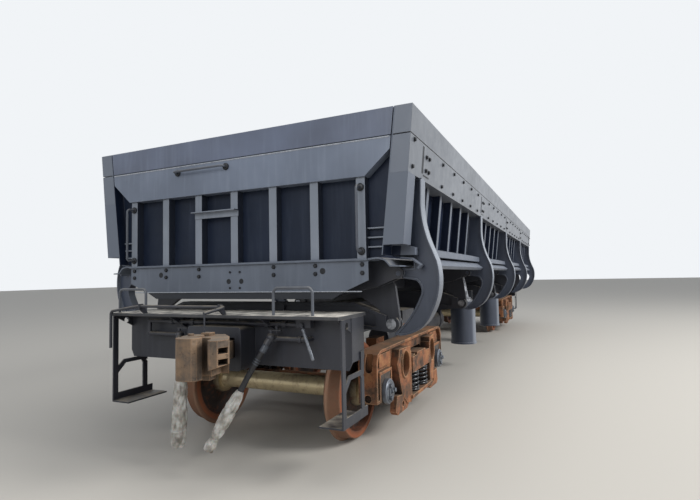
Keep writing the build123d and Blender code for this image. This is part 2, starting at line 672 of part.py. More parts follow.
def coupler():
    """Knuckle coupler of end A: shank and head with the guard arm, and the knuckle."""
    face = COUPLER_REACH + 12
    neck = SHANK_HALF_WIDTH + 12
    z = (COUPLER_Z - SHANK_HALF_HEIGHT, COUPLER_Z + SHANK_HALF_HEIGHT)
    shank = block((COUPLER_PIVOT_X - 40, face - 340), (-SHANK_HALF_WIDTH, SHANK_HALF_WIDTH), z)
    head = [
        (face - 370, -neck), (face - 290, -108), (face - 200, -112), (face - 118, -100),
        (face - 118, -22), (face - 165, 30), (face - 160, 90), (face - 105, 128),
        (face - 40, 142), (face - 8, 172), (face - 18, 226), (face - 105, 262),
        (face - 245, 188), (face - 370, neck),
    ]
    body = plate_z(head, (COUPLER_Z - HEAD_HALF_HEIGHT, COUPLER_Z + HEAD_HALF_HEIGHT))
    for level in (-15, 60):
        window = Pos(face - 92, 196, COUPLER_Z + level) * Rot(0, 0, -32) * Box(78, 260, 40)
        body -= window
    under = [(112, 740), (300, 740), (300, 860), (262, 846), (190, 822), (112, 800)]
    body -= plate_x(under, (face - 260, face + 20))
    ear = [
        (face - 260, -40), (face - 230, -112), (face - 120, -118), (face - 84, -72),
        (face - 100, -14), (face - 200, 18),
    ]
    pin_x, pin_y = face - 150, -58
    high = (COUPLER_Z + KNUCKLE_HUB_HALF + RUNNING_CLEARANCE, COUPLER_Z + KNUCKLE_HALF_HEIGHT)
    low = (COUPLER_Z - KNUCKLE_HALF_HEIGHT, COUPLER_Z - KNUCKLE_HUB_HALF - RUNNING_CLEARANCE)
    ears = [plate_z(ear, high), plate_z(ear, low)]
    hub = [
        (face - 245, -32), (face - 215, -106), (face - 110, -112), (face - 60, -106),
        (face - 60, 10), (face - 120, 28), (face - 215, 22),
    ]
    gap = offset(Polygon(*hub, align=None), 1)
    pocket = plate_z(gap, (low[1], high[0]))
    nose = [
        (face - 78, -107), (face - 30, -98), (face - 4, -70), (face, -5), (face - 4, 40),
        (face - 30, 66), (face - 82, 73), (face - 98, 50), (face - 84, 5), (face - 78, -30),
    ]
    tail = plate_z(hub, (COUPLER_Z - KNUCKLE_HUB_HALF, COUPLER_Z + KNUCKLE_HUB_HALF))
    front = plate_z(nose, (COUPLER_Z - KNUCKLE_HALF_HEIGHT, COUPLER_Z + KNUCKLE_HALF_HEIGHT))
    front = fillet(front.edges().filter_by(Axis.Z).group_by(Axis.X)[-1], 10)
    clear = plate_z(offset(Polygon(*nose, align=None), 1), (0, 2 * COUPLER_Z))
    pin_span = (COUPLER_Z - KNUCKLE_HALF_HEIGHT - 16, COUPLER_Z + KNUCKLE_HALF_HEIGHT + 16)
    pin = bar_z(KNUCKLE_PIN_RADIUS, pin_x, pin_y, pin_span)
    bore = bar_z(KNUCKLE_PIN_RADIUS + RUNNING_CLEARANCE, pin_x, pin_y, pin_span)
    lock = block((face - 300, face - 230), (-30, 40), (z[1], COUPLER_Z + HEAD_HALF_HEIGHT + 24))
    foot = block((face - 290, face - 210), (-50, 50), (COUPLER_Z - HEAD_HALF_HEIGHT - 46, z[0]))
    casting = joined(shank, body - clear, *[piece - clear for piece in ears], lock, foot) - pocket
    knuckle = joined(tail, front) - bore
    return swung(joined(casting, pin)), swung(knuckle)


def uncoupling_rod():
    """Round iron on the platform's front edge: handle on the left, crank over the coupler."""
    x = PLATFORM_FRONT + 32
    high = PLATFORM_TOP + 62
    left = 40.0 - PLATFORM_HALF
    points = [
        (x, left, 845), (x, left, high - 46), (x, left + 330, high), (x, 170, high),
        (x + 190, 130, high - 34),
    ]
    rod = pipe(points, ROD_RADIUS, 30)
    cheek = [
        (x - 72, PLATFORM_TOP), (PLATFORM_FRONT - 2, PLATFORM_TOP), (x + 20, high - 20),
        (x + 20, high + 20), (x - 22, high + 20),
    ]
    bore = Pos(x, high) * Circle(ROD_RADIUS + RUNNING_CLEARANCE)
    holders = [
        plate_y(Polygon(*cheek, align=None) - bore, (y, y + 14)) for y in (left + 342, 110.0)
    ]
    link = bar_z(6, x + 186, 131, (COUPLER_Z + HEAD_HALF_HEIGHT + 24, high - 36))
    return [joined(rod, link), *holders]


def air_pipes():
    """Air pipes across the end beam's front with their hangers, cocks and the cock's lever."""
    x = PIPE_X
    top = PLATFORM_TOP - PLATFORM_THICKNESS
    upper, lower = top - PIPE_DROP, top - LOWER_PIPE_DROP
    right_end, left_end = 500.0, -440.0
    main = bar_y(PIPE_RADIUS, x, (-800, 690), upper)
    couplings = [bar_y(PIPE_RADIUS + 9, x, (y, y + 34), upper) for y in (-560, -330, 400, 560)]
    hangers = [block((x - 5, x + 5), (y, y + 30), (upper, top)) for y in (-492, 130)]
    drain = bar_z(13, x, 506, (upper - 66, upper))
    body = block((x - 26, x + 26), (690, 812), (upper - 20, top))
    right = bar_y(PIPE_RADIUS, x, (right_end, 770), lower)
    nut = bar_y(PIPE_RADIUS + 8, x, (700, 724), lower)
    wall = bar_x(PIPE_RADIUS, (UNDERFRAME_LENGTH / 2, x + PIPE_RADIUS), 770, lower)
    lever = pipe([(x + 36, 744, upper), (x + 40, 790, upper - 120), (x + 44, 842, upper - 250)], 9, 200)
    spindle = bar_x(16, (x, x + 46), 744, upper)
    left = bar_y(PIPE_RADIUS, x, (-800, left_end), lower)
    left_wall = bar_x(PIPE_RADIUS, (UNDERFRAME_LENGTH / 2, x + PIPE_RADIUS), -800, lower)
    left_drop = bar_z(PIPE_RADIUS, x, -800, (lower, upper))
    return [
        joined(
            main, *couplings, *hangers, drain, body, spindle, lever, left_drop, left, left_wall,
            cock(TIPPING_HOSE, (x, left_end, lower)),
        ),
        joined(right, nut, wall, cock(BRAKE_HOSE, (x, right_end, lower))),
    ]


def cock(route, pipe_end):
    """Angle cock on a pipe's end: elbow, round body, nipple on the hose's line, and handle."""
    end = Vector(*route[0])
    line = (Vector(*route[1]) - end).normalized()
    heart = end - line * COCK_REACH
    nipple = extrude(Plane(origin=heart, z_dir=line) * Circle(HOSE_RADIUS + 6), COCK_REACH)
    body = Pos(*heart) * Sphere(COCK_RADIUS)
    bridge = heart - Vector(*pipe_end)
    elbow = extrude(Plane(origin=Vector(*pipe_end), z_dir=bridge) * Circle(PIPE_RADIUS + 6), bridge.length)
    stem = bar_z(13, heart.X, heart.Y, (heart.Z, heart.Z + 58))
    grip = block(
        (heart.X - 10, heart.X + 10), (heart.Y - 16, heart.Y + 92), (heart.Z + 50, heart.Z + 58)
    )
    return joined(body, nipple, elbow, stem, grip)


def hose(route):
    """Hose through the route's points, with arcs as large as its runs allow."""
    radii = []
    for before, here, after in zip(route, route[1:], route[2:]):
        arrive, leave = Vector(*here) - Vector(*before), Vector(*after) - Vector(*here)
        turn = math.radians(arrive.get_angle(leave))
        radii.append(0.45 * min(arrive.length, leave.length) / math.tan(turn / 2))
    print("hose radii", [round(value) for value in radii])
    path = FilletPolyline(*route, radius=radii)
    return sweep(Plane(origin=path @ 0, z_dir=path % 0) * Circle(HOSE_RADIUS), path=path)


def film(route, profile, lean):
    """Crumpled film round a hose's free end, from (distance, radius) points, cut at the hose."""
    tip, lean = Vector(*route[-1]), Vector(*lean).normalized()
    back = Plane(origin=tip, z_dir=Vector(*route[-2]) - tip)
    half = [(0, 0)] + [(radius, along) for along, radius in profile] + [(0, profile[-1][0])]
    body = revolve(Plane.XZ * Polygon(*half, align=None), Axis.Z)
    whole = Plane(origin=tip - lean * HOSE_RADIUS, z_dir=lean) * body
    return whole - back * Box(400, 400, 200, align=(Align.CENTER, Align.CENTER, Align.MIN))


shank, knuckle = coupler()
for turn in (lambda piece: piece, lambda piece: Rot(0, 0, 180) * piece):
    add("couplers", turn(shank))
    add("couplers", turn(knuckle))
    add("end_beams", turn(end_beam()))
    add("end_platforms", turn(end_platform()))
    for low, high in ((-1050.0, -740.0), (545.0, 875.0)):
        add("platform_handrails", turn(handrail(low, high)))
    add("uncoupling_rods", *[turn(piece) for piece in uncoupling_rod()])
    add("air_pipes", *[turn(piece) for piece in air_pipes()])
    add("steps", turn(step()), turn(to_left(step())))


add("brake_hose", hose(BRAKE_HOSE))
add("brake_hose_film", film(BRAKE_HOSE, BRAKE_FILM, (0.26, -0.42, -0.87)))
add("tipping_hose", hose(TIPPING_HOSE))
add("tipping_hose_film", film(TIPPING_HOSE, TIPPING_FILM, (0.02, -0.04, -1.0)))


# Tipping cylinders: barrels on trunnions, with three nested stages on each
def cylinder_stage(radius, low, high, wall):
    """Round tube closed at its foot."""
    tube = bar_z(radius, 0, 0, (low, high))
    return tube - bar_z(radius - wall, 0, 0, (low + wall, high + 1))


def barrel():
    """Barrel with its head ring, foot ring and the two trunnions."""
    tube = cylinder_stage(BARREL_RADIUS, BARREL_FOOT, BARREL_HEAD, BARREL_WALL)
    seat = (BARREL_HEAD - GLAND_HEIGHT, BARREL_HEAD)
    gland = bar_z(BARREL_RADIUS, 0, 0, seat) - bar_z(STAGE_RADII[0] + RUNNING_CLEARANCE, 0, 0, seat)
    collar = bar_z(BARREL_RADIUS + 16, 0, 0, (TRUNNION_Z - 62, BARREL_HEAD))
    foot = bar_z(BARREL_RADIUS + 8, 0, 0, (BARREL_FOOT, BARREL_FOOT + 26))
    core = bar_z(
        BARREL_RADIUS - BARREL_WALL, 0, 0, (BARREL_FOOT + BARREL_WALL, BARREL_HEAD + 2 * TRUNNION_RADIUS)
    )
    pins = bar_x(TRUNNION_RADIUS, (-255, 255), 0, TRUNNION_Z)
    return joined(tube, collar - core, foot - core, pins - core, gland)


def stage(index):
    """One sliding stage, closed at its foot, with a head ring; the last one has the eye."""
    radius = STAGE_RADII[index]
    low = BARREL_FOOT + BARREL_WALL + RUNNING_CLEARANCE + index * (STAGE_WALL + RUNNING_CLEARANCE)
    high = BARREL_HEAD + 18 + index * 22
    head = bar_z(radius + 7, 0, 0, (high - 14, high))
    outer_bore = BARREL_RADIUS - BARREL_WALL if index == 0 else STAGE_RADII[index - 1] - STAGE_WALL
    piston = bar_z(outer_bore - RUNNING_CLEARANCE, 0, 0, (low, low + PISTON_HEIGHT))
    if index < len(STAGE_RADII) - 1:
        bore = bar_z(radius - STAGE_WALL, 0, 0, (low + STAGE_WALL, high - GLAND_HEIGHT))
        gland = bar_z(STAGE_RADII[index + 1] + RUNNING_CLEARANCE, 0, 0, (low + STAGE_WALL, high + 1))
        return joined(bar_z(radius, 0, 0, (low, high)), head, piston) - bore - gland
    rod = joined(bar_z(radius, 0, 0, (low, high)), piston)
    neck = extrude(Plane.XY.offset(high) * Circle(radius - 20), EYE_Z - high - 60, taper=10)
    eye = bar_x(EYE_RADIUS, (-EYE_WIDTH / 2, EYE_WIDTH / 2), 0, EYE_Z)
    stem = block((-EYE_WIDTH / 2, EYE_WIDTH / 2), (-34, 34), (high, EYE_Z))
    hole = bar_x(EYE_RADIUS / 2, (-EYE_WIDTH, EYE_WIDTH), 0, EYE_Z)
    return joined(rod, head, neck, stem, eye) - hole


def cylinder_bracket():
    """Cantilever pair that holds both trunnions of one barrel, with flanged tops."""
    outline = [
        (SILL_HALF_WIDTH, 1130),
        (CYLINDER_Y + 110, 1130),
        (CYLINDER_Y + 110, 940),
        (CYLINDER_Y + 40, TRUNNION_Z - 70),
        (CYLINDER_Y - 60, TRUNNION_Z - 70),
        (SILL_HALF_WIDTH, 800),
    ]
    bore = Pos(CYLINDER_Y, TRUNNION_Z) * Circle(TRUNNION_RADIUS + RUNNING_CLEARANCE)
    face = Polygon(*outline, align=None) - bore
    pieces = []
    for side in (-1, 1):
        near = CYLINDER_X + side * (BARREL_RADIUS + 16 + MOVING_GAP)
        x = tuple(sorted((near, near + side * 26)))
        wide = tuple(sorted((near, near + side * 70)))
        top = block(wide, (SILL_HALF_WIDTH, CYLINDER_Y + 110), (1130, 1144))
        pieces.append(joined(plate_x(face, x), top))
    return pieces


for side_name, turn in (("right", lambda piece: piece), ("left", to_left)):
    for sign in (-1, 1):
        place = Pos(sign * CYLINDER_X, CYLINDER_Y, 0)
        add(f"{side_name}_cylinder_barrels", turn(place * barrel()))
        for index, label in enumerate(("outer_stages", "middle_stages", "rods")):
            add(f"{side_name}_cylinder_{label}", turn(place * stage(index)))
    for plate in cylinder_bracket():
        add("cylinder_brackets", turn(plate), to_end_b(turn(plate)))


# Box floor: plate, cross bearers beside every arm, long beams and the side lips
def lip():
    """Bent lip along the floor's right edge, under the door's foot."""
    line = [(FLOOR_HALF, 1546), (1273, 1552), (1335, 1537), (1375, 1491), (1445, 1488)]
    under = [(1445, 1478), (1371, 1480), (1330, 1526), (1272, 1541), (FLOOR_HALF, 1534)]
    return plate_x(line + under, (-END_X + 30, END_X - 30))


def floor_plates():
    """Floor of the load space between the end sheets, and the ledge under each end's ribs."""
    z = (FLOOR_TOP - FLOOR_PLATE, FLOOR_TOP)
    y = (-FLOOR_HALF, FLOOR_HALF)
    inside = END_X - END_RECESS - SHEET
    ledge = block((END_X - END_RECESS, END_X), y, z)
    return [block((-inside, inside), y, z), ledge, to_end_b(ledge)]


def bearer_outline():
    """Cross bearer from the right hinge lug to the left one."""
    top = FLOOR_TOP - FLOOR_PLATE
    half = [
        (0, top),
        (1270, top),
        (1330, 1496),
        (HINGE_Y + 12, 1474),
        (HINGE_Y + HINGE_LUG_RADIUS, HINGE_Z + 15),
        (HINGE_Y + HINGE_LUG_RADIUS, HINGE_Z - 12),
        (HINGE_Y + 16, HINGE_Z - HINGE_LUG_RADIUS),
        (HINGE_Y - 30, HINGE_Z - HINGE_LUG_RADIUS),
        (1180, 1330),
        (800, FRAME_BOTTOM),
        (0, FRAME_BOTTOM),
    ]
    face = Polygon(*(half + [(-y, z) for y, z in reversed(half[1:-1])]), align=None)
    bores = [
        Pos(sign * HINGE_Y, HINGE_Z) * Circle(HINGE_RADIUS + RUNNING_CLEARANCE) for sign in (-1, 1)
    ]
    return face - bores


def long_beams():
    """Two boxed beams under the floor, along the whole box."""
    top = FLOOR_TOP - FLOOR_PLATE
    beams = []
    for sign in (-1, 1):
        y = tuple(sorted((sign * BEAM_Y[0], sign * BEAM_Y[1])))
        x = (-END_X + END_SILL_DEPTH, END_X - END_SILL_DEPTH)
        whole = block(x, y, (FRAME_BOTTOM, top))
        inside = (y[0] + BEAM_WALL, y[1] - BEAM_WALL)
        core = block((x[0] - 1, x[1] + 1), inside, (FRAME_BOTTOM + BEAM_WALL, top - BEAM_WALL))
        beams.append(whole - core)
    return beams


def cross_bearers():
    """Bearers in pairs round each arm and lighter ones between, cut where the beams pass."""
    top = FLOOR_TOP - FLOOR_PLATE
    face = bearer_outline()
    whole = []
    for station in STATIONS:
        for side in (-1, 1):
            near = station + side * BEARER_NEAR
            whole.append(plate_x(face, tuple(sorted((near, near + side * BEARER_PLATE)))))
    for bay in (-1.5, -0.75, -0.25, 0.25, 0.75, 1.5):
        x = bay * ARM_SPACING
        whole.append(block((x - 35, x + 35), (-780, 780), (FRAME_BOTTOM + 60, top)))
    pieces = []
    for plate in whole:
        for sign in (-1, 1):
            y = tuple(sorted((sign * BEAM_Y[0], sign * BEAM_Y[1])))
            plate -= block((-END_X, END_X), y, (0, 2 * top))
        pieces += plate.solids()
    return pieces


def tongue(station):
    """Saddle that drops from the floor frame over the pivot pin, open below."""
    seat = PIVOT_RADIUS + RUNNING_CLEARANCE
    outline = [
        (PIVOT_Y - 60, PIVOT_Z - 20),
        (PIVOT_Y - 72, PIVOT_Z + 40),
        (1120, 1150),
        (900, 1290),
        (900, FLOOR_TOP - FLOOR_PLATE),
        (1180, FLOOR_TOP - FLOOR_PLATE),
        (PIVOT_Y + 30, 1330),
        (PIVOT_Y + 60, PIVOT_Z + 60),
        (PIVOT_Y + 60, PIVOT_Z - 20),
    ]
    slot = Pos(PIVOT_Y, PIVOT_Z) * Circle(seat) + Pos(PIVOT_Y, PIVOT_Z - 100) * Rectangle(
        2 * seat, 200
    )
    middle = OUTRIGGER_NEAR + OUTRIGGER_WIDTH / 2
    span = station_span(station, middle - TONGUE_THICKNESS / 2, middle + TONGUE_THICKNESS / 2)
    return plate_x(Polygon(*outline, align=None) - slot, span)


def rod_ear(x):
    """Pair of ears under the floor, one on each side of a rod's eye."""
    outline = [
        (CYLINDER_Y - 70, FLOOR_TOP - FLOOR_PLATE),
        (CYLINDER_Y + 90, FLOOR_TOP - FLOOR_PLATE),
        (CYLINDER_Y + 45, EYE_Z - 40),
        (CYLINDER_Y - 35, EYE_Z - 40),
    ]
    return [
        plate_x(outline, tuple(sorted((x + side * (EYE_WIDTH / 2 + 8), x + side * (EYE_WIDTH / 2 + 24)))))
        for side in (-1, 1)
    ]


add("box_floor", *floor_plates())
add("box_long_beams", *long_beams())
add("box_cross_bearers", *cross_bearers())
add("box_floor", lip(), to_left(lip()))
for station in STATIONS:
    add("box_pivot_saddles", tongue(station), to_left(tongue(station)))
for sign in (-1, 1):
    for ear in rod_ear(sign * CYLINDER_X):
        add("box_rod_ears", ear, to_left(ear))


# End walls of the box
def wall_half(z):
    """Half width of the end wall at height z, clear of the doors."""
    return inner_y(z) - MOVING_GAP


def end_sheet():
    """Recessed sheet of the end wall at end A, with its folded sides."""
    half = [
        (FLOOR_HALF, FLOOR_TOP - FLOOR_PLATE), (FLOOR_HALF, FLOOR_TOP), (wall_half(1562), 1562),
        (wall_half(WALL_TOP_Z), WALL_TOP_Z),
    ]
    face = half + [(-y, z) for y, z in reversed(half)]
    return plate_x(face, (END_X - END_RECESS - SHEET, END_X - END_RECESS))


def end_ribs():
    """Seven flat-faced ribs, two side returns and the small stiffeners between them."""
    pieces = []
    for centre in END_RIB_CENTRES:
        half = END_RIB_WIDTH / 2
        pieces.append(
            block((END_X - END_RECESS, END_X - 22), (centre - half, centre + half), (FLOOR_TOP, BAND_FOOT_Z))
        )
    for sign in (-1, 1):
        edge = END_RIB_CENTRES[-1] + END_RIB_WIDTH / 2
        for z in (1625.0, 1695.0, 1765.0):
            y = tuple(sorted((sign * edge, sign * (wall_half(z) - 4))))
            pieces.append(block((END_X - END_RECESS, END_X - 60), y, (z, z + 10)))
    return pieces


def end_band():
    """Upper beam of the end wall, mitred at its lower corners."""
    low_half = 1200.0
    shoulder = 2330.0
    top = SEAM_Z - SEAM_GAP
    face = [
        (-low_half, BAND_FOOT_Z), (low_half, BAND_FOOT_Z),
        (wall_half(shoulder), shoulder), (wall_half(top), top),
        (-wall_half(top), top), (-wall_half(shoulder), shoulder),
    ]
    core = [
        (-low_half + 12, BAND_FOOT_Z + SHEET), (low_half - 12, BAND_FOOT_Z + SHEET),
        (wall_half(shoulder) - SHEET, shoulder), (wall_half(top) - SHEET, top - SHEET),
        (-wall_half(top) + SHEET, top - SHEET), (-wall_half(shoulder) + SHEET, shoulder),
    ]
    pocket = plate_x(core, (END_X - END_RECESS - 1, END_X - SHEET))
    return plate_x(face, (END_X - END_RECESS, END_X)) - pocket


def end_topboard():
    """Extension board along the top of the end wall."""
    face = [
        (-wall_half(SEAM_Z), SEAM_Z), (wall_half(SEAM_Z), SEAM_Z),
        (wall_half(WALL_TOP_Z), WALL_TOP_Z), (-wall_half(WALL_TOP_Z), WALL_TOP_Z),
    ]
    half = wall_half(SEAM_Z) - SHEET
    pocket = block(
        (END_X - END_RECESS - 1, END_X - SHEET), (-half, half), (SEAM_Z + SHEET, WALL_TOP_Z - SHEET)
    )
    return plate_x(face, (END_X - END_RECESS, END_X)) - pocket


def end_sill():
    """Plate below the floor at the box's end, chamfered, with the recessed beam behind it."""
    top = FLOOR_TOP - FLOOR_PLATE
    face = [
        (-FLOOR_HALF, top), (FLOOR_HALF, top), (FLOOR_HALF, 1385),
        (1010, END_SILL_BOTTOM), (-1010, END_SILL_BOTTOM), (-FLOOR_HALF, 1385),
    ]
    strip = [
        (-1010, END_SILL_BOTTOM), (1010, END_SILL_BOTTOM), (900, 1245), (-900, 1245),
    ]
    plate = plate_x(face, (END_X - 38, END_X - 26))
    behind = plate_x(strip, (END_X - END_SILL_DEPTH, END_X - 38))
    web = block((END_X - END_SILL_DEPTH, END_X - 38), (-1010, 1010), (END_SILL_BOTTOM, top))
    return joined(plate, behind, web)


def grab_iron(points):
    """Bent round iron on the end wall."""
    return pipe(points, 10, 26)


def end_step():
    """Angle iron across two ribs, a foothold below the level grab iron."""
    rib = END_X - 22
    section = [
        (rib, 1995), (rib + 62, 1995), (rib + 62, 1987), (rib + 8, 1987), (rib + 8, 1940), (rib, 1940),
    ]
    return plate_y(section, (END_RIB_CENTRES[2] - END_RIB_WIDTH / 2 + 4, END_RIB_CENTRES[3] + END_RIB_WIDTH / 2 + 12))


def end_irons():
    """Level iron on the band and two upright irons on the outer ribs."""
    out = END_X + 60
    face = END_X
    rib = END_X - 22
    irons = [grab_iron([(face, -600, 2365), (out, -600, 2365), (out, -65, 2365), (face, -65, 2365)])]
    for y in (-1158.0, 1158.0):
        irons.append(grab_iron([(rib, y, 2075), (out, y, 2075), (out, y, 1600), (rib, y, 1600)]))
    return irons


for turn in (lambda piece: piece, lambda piece: Rot(0, 0, 180) * piece):
    add("end_wall_sheets", turn(end_sheet()))
    for rib in end_ribs():
        add("end_wall_ribs", turn(rib))
    add("end_wall_steps", turn(end_step()))
    add("end_wall_bands", turn(end_band()))
    add("end_wall_topboards", turn(end_topboard()))
    add("end_sill_plates", turn(end_sill()))
    for iron in end_irons():
        add("end_wall_grab_irons", turn(iron))


# Side doors: sheet, ribs, band, top board, foot rail and the curved arms
def leaning(z_low, z_high, near, far):
    """Outline between two faces of the leaning door; near and far give y from z."""
    return [(near(z_low), z_low), (far(z_low), z_low), (far(z_high), z_high), (near(z_high), z_high)]


def door_panel():
    """Sheet that holds the load, its ribs and the posts at both ends."""
    face = lambda z: inner_y(z) + SHEET
    sheet = plate_x(leaning(DOOR_FOOT_Z, WALL_TOP_Z, inner_y, face), (-END_X, END_X))
    rib_face = lambda z: inner_y(z) + DOOR_RIB_DEPTH
    rib = leaning(RAIL_TOP_Z, BAND_FOOT_Z, face, rib_face)
    pieces = [sheet]
    for station in STATIONS[:-1]:
        for number in range(1, DOOR_RIBS_PER_BAY + 1):
            x = station + ARM_SPACING * number / (DOOR_RIBS_PER_BAY + 1)
            pieces.append(plate_x(rib, (x - DOOR_RIB_WIDTH / 2, x + DOOR_RIB_WIDTH / 2)))
    post = leaning(WALL_FOOT_Z, BAND_FOOT_Z, face, outer_y)
    shaft = leaning(WALL_FOOT_Z - 1, BAND_FOOT_Z - 20, lambda z: inner_y(z) + 20, lambda z: outer_y(z) - 12)
    solid = plate_x(post, (END_X - POST_WIDTH, END_X))
    hollow = plate_x(shaft, (END_X - POST_WIDTH + 12, END_X - 12))
    pieces += [solid - hollow, to_end_b(solid - hollow)]
    return joined(*pieces)


def boxed(z_low, z_high):
    """Plate with folded edges on the outside of the door, open towards the sheet."""
    near = lambda z: inner_y(z) + SHEET
    whole = plate_x(leaning(z_low, z_high, near, outer_y), (-END_X, END_X))
    inside = leaning(z_low + SHEET, z_high - SHEET, lambda z: near(z) - 1, lambda z: outer_y(z) - SHEET)
    return whole - plate_x(inside, (-END_X + SHEET, END_X - SHEET))


def arm_gaps():
    """Blocks that cut a long rail where the arms pass."""
    half = ARM_WIDTH / 2
    return [block((x - half, x + half), (0, 2000), (0, 3000)) for x in STATIONS]


def door_foot():
    """Bent foot plate and the bottom rail between the arms."""
    hook = [
        (1350, 1565), (1376, 1559), (1486, 1546), (1558, 1490), (1533, 1462),
        (1526, 1470), (1543, 1490), (1482, 1534), (1376, 1547), (1340, 1555), (1336, 1565),
    ]
    near = lambda z: inner_y(z) + SHEET
    rail = [
        (near(DOOR_FOOT_Z), DOOR_FOOT_Z), (RAIL_FACE_Y, DOOR_FOOT_Z), (RAIL_FACE_Y, DOOR_FOOT_Z + 56),
        (inner_y(RAIL_TOP_Z) + DOOR_RIB_DEPTH, RAIL_TOP_Z), (near(RAIL_TOP_Z), RAIL_TOP_Z),
    ]
    span = (-END_X + POST_WIDTH + 8, END_X - POST_WIDTH - 8)
    whole = joined(plate_x(rail, span), plate_x(hook, span))
    for gap in arm_gaps():
        whole -= gap
    return whole.solids()


def arm_face():
    """Outline of a curved arm from the band down round the pivot."""
    near = lambda z: inner_y(z) + SHEET
    outer = [
        Line((1556, BAND_FOOT_Z), (1549, 1960)),
        ThreePointArc((1549, 1960), (1568, 1780), (1625, 1605)),
        Line((1625, 1605), (1657, 1524)),
        ThreePointArc((1657, 1524), (1672, 1330), (1611, 1132)),
        ThreePointArc((1611, 1132), (1500, 1004), (1357, 957)),
        Line((1357, 957), (1304, 965)),
        ThreePointArc((1304, 965), (1440, 1112), (1518, 1251)),
        ThreePointArc((1518, 1251), (1525, 1330), (1490, 1376)),
        Line((1490, 1376), (HINGE_Y + 20, HINGE_Z - 34.6)),
        ThreePointArc(
            (HINGE_Y + 20, HINGE_Z - 34.6),
            (HINGE_Y - HINGE_LUG_RADIUS, HINGE_Z),
            (HINGE_Y, HINGE_Z + HINGE_LUG_RADIUS),
        ),
        Line((HINGE_Y, HINGE_Z + HINGE_LUG_RADIUS), (1475, 1470)),
        Line((1475, 1470), (1475, 1550)),
        Line((1475, 1550), (near(1580), 1580)),
        Line((near(1580), 1580), (near(BAND_FOOT_Z), BAND_FOOT_Z)),
        Line((near(BAND_FOOT_Z), BAND_FOOT_Z), (1556, BAND_FOOT_Z)),
    ]
    return make_face(outer)


def door_arm(station):
    """Curved arm: a web with a raised rim, and the hinge pin through its lug."""
    face = arm_face()
    half = ARM_WIDTH / 2
    rim = face - offset(face, -ARM_RIM)
    web = plate_x(face, (station - ARM_WEB / 2, station + ARM_WEB / 2))
    edge = plate_x(rim, (station - half, station + half))
    reach = BEARER_NEAR + BEARER_PLATE - 2
    pin = bar_x(HINGE_RADIUS, (station - reach, station + reach), HINGE_Y, HINGE_Z)
    lug = bar_x(HINGE_LUG_RADIUS, (station - half, station + half), HINGE_Y, HINGE_Z)
    return joined(web, edge, lug, pin)


for side_name, turn in (("right", lambda piece: piece), ("left", to_left)):
    add(f"{side_name}_door_panel", turn(door_panel()))
    add(f"{side_name}_door_band", turn(boxed(BAND_FOOT_Z, SEAM_Z - SEAM_GAP)))
    add(f"{side_name}_door_topboard", turn(boxed(SEAM_Z, WALL_TOP_Z)))
    for piece in door_foot():
        add(f"{side_name}_door_panel", turn(piece))
    for station in STATIONS:
        add(f"{side_name}_door_arms", turn(door_arm(station)))


# Air gear under the frame and at end A
def reservoir():
    """Air tank with domed ends, hung under the centre sill."""
    body = bar_x(190, (-820, 820), 0, SILL_BOTTOM - 215)
    ends = body.edges().filter_by(GeomType.CIRCLE)
    tank = fillet(ends, 90)
    straps = []
    for x in (-500.0, 500.0):
        ring = bar_x(202, (x - 30, x + 30), 0, SILL_BOTTOM - 215)
        hanger = block((x - 30, x + 30), (-190, 190), (SILL_BOTTOM - 215, SILL_BOTTOM))
        straps.append(joined(ring, hanger))
    return joined(tank, *straps)


add("air_reservoir", reservoir())


def brake_cylinder():
    """Brake cylinder under the sill, with its heads, push rod and hanger plate."""
    z = SILL_BOTTOM - 200
    profile = [
        (0, 0), (150, 0), (160, 14), (160, 30), (146, 34), (146, 400), (172, 404), (172, 430),
        (120, 448), (60, 470), (60, 500), (28, 500), (28, 640), (0, 640),
    ]
    body = revolve(Plane.XY * Polygon(*profile, align=None), Axis.Y)
    lying = Pos(BRAKE_CYLINDER_X, 0, z) * Rot(0, 0, 90) * body
    x = BRAKE_CYLINDER_X - 415
    hanger = plate_x([(-150, SILL_BOTTOM), (150, SILL_BOTTOM), (178, z), (-178, z)], (x - 8, x + 8))
    return joined(lying, hanger)


add("brake_cylinder", brake_cylinder())

os.makedirs("parts", exist_ok=True)
for name, pieces in nodes.items():
    lifted = [Pos(0, 0, FLANGE_DEPTH) * solid for piece in pieces for solid in piece.solids()]
    export_step(Compound(children=lifted), f"parts/{name}.step")
print(len(nodes), "nodes,", sum(len(p) for p in nodes.values()), "pieces")
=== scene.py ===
# %% [markdown]
# # A side dump car, dressed for its portrait
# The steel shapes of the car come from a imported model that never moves. This file adds what makes
# it look real: paint with dust on it, rust on the castings, bolts, coil springs, hoses and the
# crumpled film round their ends. Everything is in metres; +X runs along the car to its near end,
# +Y is its right side and Z = 0 is the plane that the wheel flanges stand on.

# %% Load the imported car
import math

import bpy
import numpy as np
from mathutils import Matrix


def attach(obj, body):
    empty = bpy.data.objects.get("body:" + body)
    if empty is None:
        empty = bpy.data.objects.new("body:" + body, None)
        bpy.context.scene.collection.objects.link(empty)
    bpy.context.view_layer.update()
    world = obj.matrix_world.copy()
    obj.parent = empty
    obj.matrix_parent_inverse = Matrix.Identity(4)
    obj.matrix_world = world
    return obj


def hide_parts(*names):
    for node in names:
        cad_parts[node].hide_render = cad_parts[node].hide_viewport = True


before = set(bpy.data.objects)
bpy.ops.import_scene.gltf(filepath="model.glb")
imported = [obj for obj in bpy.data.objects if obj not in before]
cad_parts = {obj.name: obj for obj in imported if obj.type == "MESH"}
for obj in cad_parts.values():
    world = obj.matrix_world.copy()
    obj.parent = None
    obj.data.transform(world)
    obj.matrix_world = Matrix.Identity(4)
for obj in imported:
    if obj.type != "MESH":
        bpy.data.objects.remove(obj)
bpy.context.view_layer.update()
RAIL_TOP = 0.028

